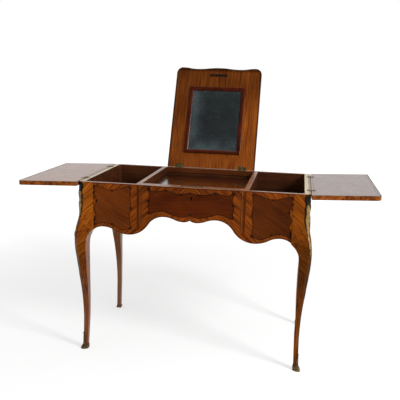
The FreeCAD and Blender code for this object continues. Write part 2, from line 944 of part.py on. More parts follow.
def corner_mount(leg):
    """The gilt bronze mount on the cant of the right front post, with its fillet down the leg."""
    rim_place = -post_cant / root_two
    knee_place = (2 * knee_out - knee_cant) / root_two
    down = Vector(0, 0, -1)
    shell = [Vector(rim_place + mount_thick, 0, mount_top),
             Vector(rim_place + mount_proud, 0, mount_swell),
             Vector(rim_place + mount_thick, 0, mount_waist)]
    leaf = [shell[2], Vector(rim_place + mount_proud, 0, mount_leaf),
            Vector(knee_place + fillet_proud, 0, knee_height)]
    inner = [Vector(knee_place - post_cant, 0, knee_height),
             Vector(rim_place - post_cant, 0, mount_waist),
             Vector(rim_place - post_cant, 0, mount_top)]
    profile = [Part.Arc(*shell).toShape()] + ogee(leaf[0], leaf[2], down, mount_leaf_share)
    body = face(profile + chain([leaf[2]] + inner + [shell[0]]))
    body = body.extrude(Vector(0, 4 * mount_half_swell, 0))
    body.translate(Vector(0, -2 * mount_half_swell, 0))
    mount = to_corner(body.common(mount_outline())).cut(leg).cut(flap_room())
    return mount.fuse(leg_fillet(leg))


def flap_room():
    """The space beside the post that the open flap needs."""
    low = rim_height - top_thickness - mount_flap_gap
    return box((half_width, -case_depth, low), (case_width, 0, rim_height))


def mount_outline():
    """The mount seen along the diagonal: a shell above and a leaf that runs to a point."""
    edges = []
    ends = []
    for side in (-1, 1):
        top = Vector(0, side * mount_half_top, mount_top)
        swell = Vector(0, side * mount_half_swell, mount_swell)
        waist = Vector(0, side * mount_half_waist, mount_waist)
        leaf = Vector(0, side * mount_half_leaf, mount_leaf)
        tail = Vector(0, side * mount_half_tail, knee_height)
        edges += [Part.Arc(top, swell, waist).toShape(), Part.Arc(waist, leaf, tail).toShape()]
        ends += [top, tail]
    edges += chain([ends[0], ends[2]]) + chain([ends[1], ends[3]])
    prism = face(edges).extrude(Vector(2 * post_diagonal, 0, 0))
    prism.translate(Vector(-post_diagonal, 0, 0))
    return prism


def leg_fillet(leg):
    """The thin gilt fillet on the outer corner of the leg, from the mount to the sabot."""
    outer_curve, outer_ends = cant_edge(fillet_proud)[1:]
    inner_curve, inner_ends = cant_edge(-fillet_depth)[1:]
    start = chain([outer_curve[0].Vertexes[0].Point, inner_curve[0].Vertexes[0].Point])
    band = face(outer_curve + inner_curve + start + chain(outer_ends + inner_ends[::-1]))
    band = band.extrude(Vector(0, 2 * mount_half_tail, 0))
    band.translate(Vector(0, -mount_half_tail, 0))
    reach = leg_joint_in + post_width
    room = box((-reach, -reach, sabot_height), (reach, reach, knee_height))
    return to_corner(band.common(room)).cut(leg)


def shoe_blank(sections):
    """A square shoe of flat faces through sections of outer place, inner place and height."""
    rings = []
    for outer, inner, height in sections:
        x_out = half_width + outer
        x_in = half_width - inner
        y_out = -half_depth - outer
        y_in = -half_depth + inner
        rings.append([Vector(x_out, y_out, height), Vector(x_in, y_out, height),
                      Vector(x_in, y_in, height), Vector(x_out, y_in, height)])
    faces = [face(chain(ring + ring[:1])) for ring in (rings[0], rings[-1])]
    for low, high in zip(rings[:-1], rings[1:]):
        for index in range(len(low)):
            after = (index + 1) % len(low)
            corners = [low[index], low[after], high[after], high[index]]
            faces.append(face(chain(corners + corners[:1])))
    return Part.Solid(Part.makeShell(faces))


def sabot(leg):
    """The cast shoe of the right front leg: sole, toe, waist and flared top."""
    blank = shoe_blank([
        (sabot_toe - foot_in, foot_inner_in + sabot_swell, 0),
        (sabot_swell - foot_in, foot_inner_in + sabot_swell, sabot_toe_height),
        (sabot_wall - foot_in, foot_inner_in + sabot_swell, sabot_waist),
        (sabot_lip - ankle_in, shin_inner_in + sabot_wall, sabot_height)])
    return blank.cut(leg)


def back_shoe(leg):
    """The small shoe of the right back leg."""
    blank = shoe_blank([
        (shoe_swell - foot_in, foot_inner_in + shoe_wall, 0),
        (shoe_wall - foot_in, foot_inner_in + shoe_swell, shoe_height)])
    return mirrored_y(blank).cut(leg)


def keep(name, shape):
    """Add one piece to the table."""
    pieces[name] = shape


def keep_pair(name, shape):
    """Add a piece of the right side and its mirror image on the left."""
    keep(name + "_right", shape)
    keep(name + "_left", mirrored_x(shape))


def add_carcass():
    """Legs, boards and floors."""
    under_front = front_space()
    under_back = back_space()
    under_side = side_space()
    region = front_region()
    front_leg, back_leg = legs(under_front, under_back, under_side)
    flap_cutters = at_flap(hinge_cutters(flap_leaf_length, False))
    keep_pair("leg_front", front_leg)
    keep_pair("leg_back", back_leg)
    keep_pair("front_panel", front_panel(region, under_front))
    keep_pair("side_panel", cut_all(side_panel(under_side), flap_cutters))
    keep("back_panel", back_panel(under_back))
    keep_pair("partition", partition())
    keep_pair("well_bottom", well_bottom(front_leg, back_leg))
    keep("well_cleats", well_cleats())
    keep("tray_bottom", tray_bottom())
    keep("tray_front_rail", tray_front_rail())
    keep("tray_cleats", tray_cleats())
    keep("hinge_rail", hinge_rail(at_lid(hinge_cutters(lid_leaf_length, False))))
    keep("drawer_runners", drawer_runners())
    keep("drawer_stops", drawer_stops())
    keep("drawer_front", drawer_front(region, under_front))
    keep_pair("corner_mount", corner_mount(front_leg))
    keep_pair("sabot", sabot(front_leg))
    shoe = back_shoe(back_leg)
    keep("back_shoes", Part.makeCompound([shoe, mirrored_x(shoe)]))


def add_drawer():
    """The drawer box and the lock."""
    keep_pair("drawer_side", drawer_side())
    keep("drawer_back", drawer_back())
    keep("drawer_bottom", drawer_bottom())
    keep("lock_case", lock_case())
    keep("lock_bolt", lock_bolt())
    keep("escutcheon", escutcheon())


def add_lid():
    """The mirror lid, turned back to its stop."""
    board, lipping = lipped(lid_slab)
    slots = strike_slots(bolt_travel + strike_slot_fit)
    cutters = at_lid(hinge_cutters(lid_leaf_length, True))
    cutters += [mirror_glass(glass_fit), strike_blank()] + slots
    keep("lid_board", opened_lid(cut_all(board, cutters)))
    keep("lid_lipping", opened_lid(lipping))
    keep("mirror_moulding", opened_lid(mirror_moulding()))
    keep("mirror_glass", opened_lid(mirror_glass()))
    keep("strike_plate", opened_lid(cut_all(strike_blank(), slots)))
    fixed, moving = hinge(lid_leaf_length)
    keep("lid_hinge_fixed", Part.makeCompound(at_lid([fixed])))
    keep("lid_hinge_moving", opened_lid(Part.makeCompound(at_lid([moving]))))


def add_flaps():
    """Both flaps, turned out to their stops."""
    board, lipping = lipped(flap_slab)
    board = cut_all(board, at_flap(hinge_cutters(flap_leaf_length, True)))
    fixed, moving = hinge(flap_leaf_length)
    keep_pair("flap_hinge_fixed", Part.makeCompound(at_flap([fixed])))
    turning = {
        "flap_board": board,
        "flap_lipping": lipping,
        "flap_hinge_moving": Part.makeCompound(at_flap([moving]))}
    for name, shape in turning.items():
        keep(name + "_right", opened_right(shape))
        keep(name + "_left", opened_left(shape))


def write_pieces():
    """Write every piece, moved so that the origin is below the middle of the outline."""
    outline = Part.makeCompound(list(pieces.values())).optimalBoundingBox(False, False)
    for name, shape in pieces.items():
        moved = shape.copy()
        moved.translate(Vector(-outline.Center.x, -outline.Center.y, 0))
        moved.exportStep("parts/" + name + ".step")
    print("moved by", -outline.Center.x, -outline.Center.y)


pieces = {}
os.makedirs("parts", exist_ok=True)
add_carcass()
add_drawer()
add_lid()
add_flaps()
write_pieces()
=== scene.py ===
"""The looks of a poudreuse dressing table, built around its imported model."""
import json
import math

import bmesh
import bpy
from mathutils import Matrix, Vector
from mathutils.bvhtree import BVHTree

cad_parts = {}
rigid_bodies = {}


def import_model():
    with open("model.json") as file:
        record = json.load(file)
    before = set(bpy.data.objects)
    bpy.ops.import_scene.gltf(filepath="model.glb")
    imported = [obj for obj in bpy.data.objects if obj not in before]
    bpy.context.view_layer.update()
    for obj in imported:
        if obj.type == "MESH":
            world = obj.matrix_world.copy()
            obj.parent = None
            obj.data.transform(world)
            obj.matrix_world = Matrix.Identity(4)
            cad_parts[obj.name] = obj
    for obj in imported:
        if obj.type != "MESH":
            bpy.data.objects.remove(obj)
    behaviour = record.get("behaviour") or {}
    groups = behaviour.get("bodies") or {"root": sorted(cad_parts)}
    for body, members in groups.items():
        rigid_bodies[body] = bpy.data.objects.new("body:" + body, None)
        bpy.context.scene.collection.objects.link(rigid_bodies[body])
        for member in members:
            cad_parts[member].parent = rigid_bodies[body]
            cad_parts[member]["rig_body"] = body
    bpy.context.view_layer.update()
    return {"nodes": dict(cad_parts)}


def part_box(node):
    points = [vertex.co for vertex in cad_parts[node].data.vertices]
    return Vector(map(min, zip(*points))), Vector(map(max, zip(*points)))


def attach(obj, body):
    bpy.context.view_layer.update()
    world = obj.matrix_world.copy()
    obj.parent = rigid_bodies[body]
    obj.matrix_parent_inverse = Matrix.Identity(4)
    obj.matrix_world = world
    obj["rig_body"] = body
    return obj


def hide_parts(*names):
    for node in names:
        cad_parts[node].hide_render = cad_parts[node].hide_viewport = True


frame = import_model()
nodes = frame["nodes"]
scene = bpy.context.scene

# The table's own frame is measured in millimetres from the middle of its case.
SHIFT = Vector((-0.00037633, -0.10221478, 0.0))
MM = 0.001
RIM = 745
HALF_WIDTH, HALF_DEPTH = 473, 253
WELL = (448, -233, 235)
FRONT = ((0, -260), (310, -249.5), (407, -253))
AXIS_HEIGHT = 745.2
LID_AXIS, FLAP_AXIS = 254.1, 474.1
LID_TURN = math.radians(-113.2)
FLAP_TURNS = {"left": math.radians(-182.15), "right": math.radians(-177.36)}
SIDES = (("left", -1), ("right", 1))
INNER, BOARD = 0.2, 18.2  # the closed lid's and flaps' lower and upper faces, from their axes
ROOT_TWO = math.sqrt(2)
KNEE, KNEE_TURN = (0.44, 0, 0.38), 0.12
APRON = 500
DIAGONAL = (-1, 0, 1)


def row(x, y, z):
    """A point of the table, given in its own millimetres, in the scene's metres."""
    return Vector((x, y, z)) * MM + SHIFT


# ---- places on the table

def two_arcs(along, start, end):
    """Depth of the serpentine front between two of its stations."""
    run = (end[0] - start[0]) / 2
    rise = (end[1] - start[1]) / 2
    radius = (run * run + rise * rise) / (2 * abs(rise))
    way = math.copysign(1, rise)
    near = along - start[0]
    if near <= run:
        return start[1] + way * (radius - math.sqrt(radius * radius - near * near))
    far = end[0] - along
    return end[1] - way * (radius - math.sqrt(max(radius * radius - far * far, 0)))


def on_front(x, z, proud):
    """A point of the serpentine front, by distance from the middle and height."""
    away = abs(x)
    depth = FRONT[-1][1]
    for start, end in zip(FRONT[:-1], FRONT[1:]):
        if away <= end[0]:
            depth = two_arcs(away, start, end)
            break
    return row(x, depth - proud, z)


def swung(along, height, turn):
    """How far inwards of its hinge and how far above it a point of a turned board lies."""
    return (along * math.cos(turn) + height * math.sin(turn),
            height * math.cos(turn) - along * math.sin(turn))


def on_lid(x, along, height):
    """A point of the open lid: across, away from its hinge, and up through the closed board."""
    inwards, above = swung(along, height, LID_TURN)
    return row(x, LID_AXIS - inwards, AXIS_HEIGHT + above)


def on_flap(side, along, y, height):
    """A point of an open flap: away from its hinge, across, and up through the closed board."""
    inwards, above = swung(along, height, FLAP_TURNS[side])
    x = inwards - FLAP_AXIS
    return row(x if side == "left" else -x, y, AXIS_HEIGHT + above)


# ---- curves

def arc_points(start, direction, end, count=12):
    """Points of the arc that leaves the start in a direction and reaches the end."""
    start, end, direction = Vector(start), Vector(end), Vector(direction).normalized()
    chord = end - start
    normal = Vector((-direction.y, direction.x))
    if chord.dot(normal) < 0:
        normal.negate()
    radius = chord.dot(chord) / (2 * chord.dot(normal))
    centre = start + normal * radius
    turn = 2 * math.asin(min(1, chord.length / (2 * radius)))
    return [centre - normal * radius * math.cos(turn * step / count)
            + direction * radius * math.sin(turn * step / count) for step in range(count + 1)]


def ogee_points(start, end, share, count=12):
    """Two arcs, level at both ends."""
    start, end = Vector(start), Vector(end)
    turn = start + (end - start) * share
    first = arc_points(start, (1, 0), turn, count)
    last = arc_points(end, (-1, 0), turn, count)
    return first + last[::-1][1:]


def lower_edge():
    """Scalloped lower edge of the front, from the middle cusp to the leg, as x and z."""
    points = arc_points((26, 603), (-1, 0), (0, 611), 8)[::-1]
    points += ogee_points((26, 603), (105, 619), 0.5)[1:]
    points += ogee_points((105, 619), (261, 532), 0.45, 18)[1:]
    points += ogee_points((261, 532), (366, 560), 0.55)[1:]
    points += arc_points((366, 560), (1, 0), (431, 495), 14)[1:]
    return points


def smooth_line(points, steps=5, closed=True):
    """A soft curve through the points."""
    count = len(points)
    curve = []
    for index in range(count if closed else count - 1):
        places = [index + k - 1 for k in range(4)]
        places = [place % count if closed else min(max(place, 0), count - 1) for place in places]
        before, start, end, after = (Vector(points[place]) for place in places)
        for step in range(steps):
            t = step / steps
            curve.append(0.5 * (2 * start + (end - before) * t
                                + (2 * before - 5 * start + 4 * end - after) * t * t
                                + (3 * start - before - 3 * end + after) * t * t * t))
    return curve if closed else curve + [Vector(points[-1])]


def mirrored(points):
    """The same points on the other side of the middle."""
    return [Vector((-point[0], point[1])) for point in points]


def round_rectangle(low, high, radius):
    """A closed outline with round corners."""
    corners = ((high[0], high[1], 0), (low[0], high[1], 90), (low[0], low[1], 180),
               (high[0], low[1], 270))
    outline = []
    for x, y, start in corners:
        middle = Vector((x - math.copysign(radius, x - (low[0] + high[0]) / 2),
                         y - math.copysign(radius, y - (low[1] + high[1]) / 2)))
        for step in range(7):
            turn = math.radians(start + 15 * step)
            outline.append(middle + Vector((math.cos(turn), math.sin(turn))) * radius)
    return outline


# ---- materials

class Net:
    """The node net of one material or world, with short calls."""

    def __init__(self, name, kind="Material"):
        self.owner = (bpy.data.materials if kind == "Material" else bpy.data.worlds).new(name)
        self.owner.use_nodes = True
        self.tree = self.owner.node_tree
        self.tree.nodes.clear()
        self.output = self.node("Output" + kind)
        self.place = self.node("TexCoord").outputs["Object"]

    def node(self, kind, inputs=None, **properties):
        made = self.tree.nodes.new("ShaderNode" + kind)
        for key, value in properties.items():
            setattr(made, key, value)
        for key, value in (inputs or {}).items():
            if isinstance(value, bpy.types.NodeSocket):
                self.tree.links.new(value, made.inputs[key])
            else:
                made.inputs[key].default_value = value
        return made

    def finish(self, shader):
        self.tree.links.new(shader.outputs[0], self.output.inputs[0])
        return self.owner

    def math(self, operation, *values, clamp=False):
        made = self.node("Math", dict(enumerate(values)), operation=operation, use_clamp=clamp)
        return made.outputs[0]

    def plus(self, first, second):
        return self.math("ADD", first, second)

    def minus(self, first, second):
        return self.math("SUBTRACT", first, second)

    def times(self, first, second):
        return self.math("MULTIPLY", first, second)

    def scaled(self, value, factor, offset):
        return self.math("MULTIPLY_ADD", value, factor, offset)

    def swing(self, noise, amount, base):
        """A base that a noise moves up and down by half an amount."""
        return self.scaled(self.minus(noise, 0.5), amount, base)

    def dot(self, vector, way):
        made = self.node("VectorMath", {0: vector, 1: way}, operation="DOT_PRODUCT")
        return made.outputs["Value"]

    def split(self, vector):
        return self.node("SeparateXYZ", {0: vector}).outputs

    def join(self, x, y, z):
        return self.node("CombineXYZ", {0: x, 1: y, 2: z}).outputs[0]

    def gray(self, tone):
        return self.join(tone, tone, tone)

    def noise(self, vector, scale, detail=2.0, roughness=0.5):
        made = self.node("TexNoise", {"Vector": vector, "Scale": scale, "Detail": detail,
                                      "Roughness": roughness})
        return made.outputs["Fac"]

    def rise(self, value, low, high, to_low=0.0, to_high=1.0):
        made = self.node("MapRange", {"Value": value, "From Min": low, "From Max": high,
                                      "To Min": to_low, "To Max": to_high},
                         interpolation_type="SMOOTHSTEP")
        return made.outputs[0]

    def mix(self, factor, first, second, blend="MIX"):
        made = self.node("Mix", {0: factor, 6: first, 7: second}, data_type="RGBA",
                         blend_type=blend)
        return made.outputs[2]

    def folded(self):
        """The place with its left half laid over the right."""
        x, y, z = self.split(self.place)
        return self.join(self.math("ABSOLUTE", self.minus(x, SHIFT.x)), y, z)

    def shade(self, color, roughness, height=None, depth=0.0, metallic=0.0, strength=0.0,
              **constants):
        """The finished material of one plain shader."""
        inputs = {"Base Color": color, "Roughness": roughness, "Metallic": metallic}
        if height is not None:
            bump = self.node("Bump", {"Height": height, "Distance": depth, "Strength": strength})
            inputs["Normal"] = bump.outputs[0]
        inputs.update({key.replace("_", " "): value for key, value in constants.items()})
        return self.finish(self.node("BsdfPrincipled", inputs))


def opaque(color):
    """A colour that covers fully."""
    return tuple(color) + (1.0,)


woods = {}


def wood(name, dark, light, grain, ribbon=(0.4, 4.0), figure=(0.5, 40.0), folded=False,
         gloss=0.24, coat=0.05, sheen=0.3, upright=False, fades=()):
    """Adds a polished veneer: fibres, ribbons and a slow figure drawn out along the grain.

    Ribbon and figure are strength and width in millimetres. Where upright, the grain comes to
    stand below the knee. Each fade is an axis, two places along it and the colour's share there.
    """
    net = Net("veneer_" + name)
    place = net.folded() if folded else net.place
    if upright:
        place = net.node("VectorMath", {0: place, 1: KNEE}, operation="SUBTRACT").outputs[0]
    along = Vector(grain).normalized()
    across = along.cross(Vector((0, 1, 0)) if abs(along.y) < 0.7 else Vector((0, 0, 1)))
    across.normalize()
    u, v, w = (net.dot(place, way) for way in (along, across, along.cross(across)))
    if upright:
        x, y, z = net.split(place)
        share = net.rise(z, 0.0, KNEE_TURN)
        rest = net.minus(1.0, share)
        u = net.plus(net.times(u, share), net.times(z, rest))
        v = net.minus(net.times(v, share), net.times(x, rest))
    slow = net.noise(place, 7.0)
    v = net.swing(slow, 0.02, v)

    def drawn(length, width, detail, rough=0.5):
        spans = ((u, length), (v, width), (w, width))
        parts = [net.math("DIVIDE", value, span * MM) for value, span in spans]
        return net.noise(net.join(*parts), 1.0, detail, rough)

    fibre = drawn(40, 0.7, 3.0, 0.7)
    bands = drawn(160, ribbon[1], 2.0)
    clouds = drawn(110, figure[1], 2.0)
    pores = net.rise(drawn(6, 0.35, 1.0), 0.66, 0.74)
    tone = net.swing(clouds, figure[0] * 2.6, net.swing(bands, ribbon[0] * 3.6, 0.0))
    tone = net.math("ADD", net.swing(fibre, 0.7, tone), 0.5, clamp=True)
    color = net.mix(tone, opaque(dark), opaque(light))
    color = net.mix(1.0, color, net.gray(net.scaled(slow, 0.6, 0.70)), "MULTIPLY")
    color = net.mix(net.times(pores, 0.4), color, opaque([c * 0.3 for c in dark]))
    for axis, *fade in fades:
        share = net.rise(net.split(net.place)[axis], *fade)
        color = net.mix(1.0, color, net.gray(share), "MULTIPLY")
    roughness = net.swing(net.noise(place, 38.0, 3.0, 0.6), 0.2, gloss)
    height = net.scaled(pores, -1.0, net.times(fibre, 0.5))
    woods[name] = net.shade(color, roughness, height, 0.00006, strength=0.4, Coat_Weight=coat,
                            Coat_Roughness=0.12, Specular_IOR_Level=sheen)


def metal(name, bright, dark, amount, scale=90.0, gloss=0.32, shell=None, crests=0.0):
    """Cast or rolled metal with tarnish in its hollows, and darker above a height."""
    net = Net("aged_" + name)
    patches = net.noise(net.place, scale, 4.0, 0.65)
    specks = net.noise(net.place, scale * 9)
    level = net.scaled(specks, 0.25, patches)
    if crests:
        crest = net.node("Attribute", attribute_name="crest").outputs["Fac"]
        level = net.swing(crest, -crests, level)
    if shell:
        level = net.plus(level, net.rise(net.split(net.place)[2], *shell, 0.0, 0.4))
    tarnish = net.rise(level, 0.82 - amount, 1.02 - amount * 0.6)
    color = net.mix(tarnish, opaque(bright), opaque(dark))
    return net.shade(color, net.scaled(tarnish, 0.28, gloss), net.plus(patches, specks), 0.0002,
                     metallic=0.6, strength=0.35)


def looking_glass():
    """Old silvering: dark and clear in the middle, hazy towards its edges, with specks."""
    net = Net("aged_mirror")
    x, y, z = net.split(net.place)
    low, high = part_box("mirror_glass")
    middle, half = (low + high) / 2, (high - low) / 2
    side = net.math("DIVIDE", net.minus(x, middle.x), half.x)
    level = net.math("DIVIDE", net.minus(z, middle.z), half.z)
    edge = net.rise(side, -0.25, -1.05)
    for hazy in (net.rise(side, 0.75, 1.1, 0.0, 0.35), net.rise(level, -0.35, -1.05),
                 net.rise(level, 0.6, 1.1, 0.0, 0.5)):
        edge = net.math("MAXIMUM", edge, hazy)
    cloud = net.noise(net.place, 14.0, 3.0, 0.55)
    haze = net.times(edge, net.rise(cloud, 0.2, 0.75, 0.25, 1.0))
    specks = net.rise(net.noise(net.place, 120.0, 1.0), 0.70, 0.76)
    color = net.mix(haze, (0.35, 0.42, 0.44, 1), (0.42, 0.56, 0.58, 1))
    clear = net.swing(cloud, -0.05, net.scaled(haze, -0.10, 0.945))
    return net.shade(color, net.scaled(haze, 0.10, 0.05), metallic=net.scaled(specks, -0.2, clear))


def rim_wood():
    """The top edge of the case: pale lining wood beside the wells, brown veneer round it."""
    net = Net("rim_edge")
    x, y, z = net.split(net.folded())
    stain = net.noise(net.place, 60.0, 3.0, 0.6)
    grain = net.noise(net.join(net.times(x, 30.0), net.times(y, 600.0), z), 1.0)
    beside = net.times(net.rise(x, 0.4470, 0.4480), net.rise(x, 0.4645, 0.4625))
    along = net.times(net.rise(y, -0.340, -0.333), net.rise(y, 0.141, 0.134))
    brown = net.mix(net.rise(stain, 0.35, 0.65), (0.13, 0.047, 0.020, 1), (0.34, 0.155, 0.080, 1))
    cream = net.mix(net.rise(stain, 0.3, 0.62), (0.40, 0.30, 0.15, 1), (0.60, 0.50, 0.29, 1))
    color = net.mix(net.times(beside, along), brown, cream)
    color = net.mix(net.rise(grain, 0.5, 0.7, 0.0, 0.25), color, (0.12, 0.07, 0.035, 1))
    return net.shade(color, net.scaled(stain, 0.2, 0.24), grain, 0.0001, strength=0.3,
                     Specular_IOR_Level=0.4)


wood("crossband", (0.065, 0.011, 0.0005), (0.29, 0.062, 0.0018), DIAGONAL, (1, 3), (0.35, 24), True)
wood("field", (0.085, 0.0155, 0.0008), (0.190, 0.041, 0.0028), (-1, 0, 0.55), (0.3, 5), (0.5, 34),
     fades=((0, 0, 0.3, 1, 0.58),))
wood("drawer_field", (0.050, 0.0075, 0.0003), (0.130, 0.021, 0.0008), (1, 0, 0.1), (0.3, 5),
     (0.6, 36))
wood("leg", (0.13, 0.024, 0.0012), (0.50, 0.128, 0.0055), DIAGONAL, (0.9, 3.2), (0.35, 26), True,
     coat=0.02, sheen=0.18, upright=True, fades=((2, 0.42, 0.64, 0.50, 1),))
# Painted shade: the right front leg's veneer is the left leg's wood made darker, darkest about the
# knee, for the shade that leg stands in.
wood("shaded_leg_right", (0.10, 0.018, 0.0009), (0.38, 0.095, 0.004), DIAGONAL, (0.8, 3.2), (0.35, 26),
     True, 0.4, 0, 0.06, True, ((2, 0.47, 0.66, 0.30, 0.86), (2, 0.24, 0.42, 1.85, 1)))
wood("side", (0.09, 0.018, 0.0012), (0.25, 0.060, 0.0040), (0, 0.25, 1), (0.7, 4), (0.45, 30))
wood("back_leg", (0.18, 0.060, 0.018), (0.32, 0.115, 0.034), (0, 0, 1), (0.3, 6), (0.3, 30))
wood("top", (0.18, 0.066, 0.032), (0.33, 0.140, 0.074), (0, 1, 0), (0.4, 4), (0.4, 60), gloss=0.34,
     coat=0.3, sheen=0.5)
wood("top_right", (0.105, 0.056, 0.042), (0.19, 0.105, 0.080), (0, 1, 0), (0.3, 4), (0.3, 60),
     gloss=0.34, coat=0.3, sheen=0.5)
wood("quarters", (0.09, 0.020, 0.002), (0.30, 0.082, 0.009), (1, 1, 0.2), (0.6, 6), (0.4, 50), True)
# Painted light and shade on the mirror lid: brighter low down and towards the right, and darkened
# in narrow bands along its top and side edges for the shade on their rounded lipping.
wood("lid", (0.105, 0.0195, 0.0012), (0.30, 0.077, 0.0065), (0, 0.42, 1), (0.95, 2), (0.3, 60),
     fades=((2, 0.84, 1.20, 1.12, 0.62), (0, -0.2, 0.2, 0.88, 1.08), (2, 1.198, 1.211, 1, 0.4),
     (0, -0.209, -0.202, 0.4, 1), (0, 0.202, 0.209, 1, 0.4)))
wood("banding", (0.07, 0.014, 0.001), (0.34, 0.088, 0.008), (0, 1, 0.2), (0.5, 8), (0.9, 26))
# Near-black edge veneer: a real dark string on the flaps' inner faces, and painted shade where it
# lines the joints beside the drawer, the rounded lipping of the flaps and lid, and the gaps at the
# flaps' hinges.
wood("edge", (0.012, 0.005, 0.002), (0.040, 0.014, 0.005), (0, 1, 0.2), (0.4, 6), (0.4, 40),
     gloss=0.5, coat=0, sheen=0.15)
wood("tray", (0.022, 0.005, 0.0018), (0.055, 0.015, 0.0055), (1, 0, 0), (0.35, 6), gloss=0.16,
     coat=0.4)
wood("rail", (0.055, 0.014, 0.004), (0.14, 0.038, 0.010), (1, 0, 0), (0.35, 6), gloss=0.2, coat=0.4)
wood("secondary", (0.10, 0.040, 0.016), (0.22, 0.095, 0.040), (1, 0, 0), (0.4, 6), gloss=0.5,
     coat=0)
# Painted shade: the wells' lining darkens towards their floors, down to a quarter at the bottom.
wood("well", (0.040, 0.011, 0.004), (0.105, 0.032, 0.011), (1, 0, 0), (0.4, 6), gloss=0.3, coat=0.1,
     fades=((2, 0.60, 0.735, 0.25, 1),))
wood("moulding", (0.030, 0.004, 0.001), (0.11, 0.015, 0.004), (0, 0.42, 1))
wood("string", (0.006, 0.0025, 0.0010), (0.034, 0.010, 0.002), (1, 0, 0.3))
wood("pale", (0.14, 0.055, 0.015), (0.30, 0.13, 0.040), (0, 0, 1))
woods["rim"] = rim_wood()
gilt = metal("gilt", (0.46, 0.30, 0.095), (0.024, 0.015, 0.006), 0.5, gloss=0.28,
             shell=(0.695, 0.712), crests=0.95)
sabot_gilt = metal("sabot_gilt", (0.34, 0.21, 0.08), (0.07, 0.042, 0.018), 0.5, crests=0.4)
shoe_gilt = metal("shoe_gilt", (0.26, 0.15, 0.075), (0.11, 0.062, 0.033), 0.5)
hinge_brass = metal("hinge_brass", (0.42, 0.32, 0.085), (0.05, 0.036, 0.014), 0.48, 110)
lock_brass = metal("lock_brass", (0.14, 0.10, 0.05), (0.014, 0.011, 0.007), 0.62, 160)
escutcheon_brass = metal("escutcheon_brass", (0.15, 0.10, 0.045), (0.012, 0.008, 0.005), 0.6,
                         160, 0.5)
steel = metal("steel", (0.34, 0.33, 0.31), (0.06, 0.05, 0.045), 0.4, 200, 0.38)
mirror = looking_glass()


# ---- pieces

def mesh_piece(name, points, faces, material, body, slot, smooth=30.0, crests=None):
    """A new piece of the table that rides on a body, with how bare each point is rubbed."""
    mesh = bpy.data.meshes.new(name)
    mesh.from_pydata([tuple(point) for point in points], [], faces)
    work = bmesh.new()
    work.from_mesh(mesh)
    bmesh.ops.recalc_face_normals(work, faces=work.faces)
    work.to_mesh(mesh)
    work.free()
    for face in mesh.polygons:
        face.use_smooth = True
    mesh.set_sharp_from_angle(angle=math.radians(smooth))
    mesh.materials.append(material)
    if crests:
        mesh.attributes.new("crest", "FLOAT", "POINT").data.foreach_set("value", crests)
    piece = bpy.data.objects.new(name, mesh)
    scene.collection.objects.link(piece)
    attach(piece, body)
    return piece


def tubes(sets, closed=False):
    """Points and faces of tubes, each through its rings of points, with ends unless closed."""
    points, faces = [], []
    for rings in sets:
        base, wide, count = len(points), len(rings[0]), len(rings)
        points += [point for ring in rings for point in ring]
        for index in range(count if closed else count - 1):
            a, b = base + index * wide, base + (index + 1) % count * wide
            faces += [[a + k, a + (k + 1) % wide, b + (k + 1) % wide, b + k] for k in range(wide)]
        if not closed:
            faces += [list(range(base, base + wide)), list(range(len(points) - wide, len(points)))]
    return points, faces


def through(table, place):
    """A value between the rows of a falling table."""
    for (high, first), (low, last) in zip(table[:-1], table[1:]):
        if place >= low:
            share = max(0, min(1, (high - place) / (high - low)))
            return first + (last - first) * share * share * (3 - 2 * share)
    return table[-1][1]


def sideways(line, index, closed=False):
    """The direction to the left of a line at one of its points."""
    count = len(line)
    before = line[index - 1 if closed else max(index - 1, 0)]
    after = line[(index + 1) % count if closed else min(index + 1, count - 1)]
    way = (Vector(after) - Vector(before)).normalized()
    return Vector((-way.y, way.x))


def taken_out(work):
    """The points and faces of a mesh in work, which is then given up."""
    work.verts.index_update()
    points = [vert.co.copy() for vert in work.verts]
    faces = [[vert.index for vert in face.verts] for face in work.faces]
    work.free()
    return points, faces


# By height: how far the front legs' outer faces stand out, where their straight inner corner
# stands, by how much left and right differ by hand, how far the end of the arch follows, and how
# far the right back leg leans out. Moves fade out towards WING, counted in from the outer faces.
LEG_OUT = [(420, 0), (380, 2), (330, 5.2), (180, 5.5), (140, 4.8), (100, 4), (0, 3.6)]
LEG_CORNER = [(455, 33), (150, 33), (100, 31.6), (0, 27.5)]
LEAN = [(548, 0), (480, 2.2), (200, 2.4), (110, 0.6), (80, 0)]
ARCH_END = [(548, 0), (520, 3.5), (500, 6.2), (484, 7.8), (470, 8.4)]
SPREAD = [(480, 0), (300, 7), (0, 7)]
WING = 66
PROBE_IN, PROBE_OUT = 120, 600  # where the rays that find a leg's faces start


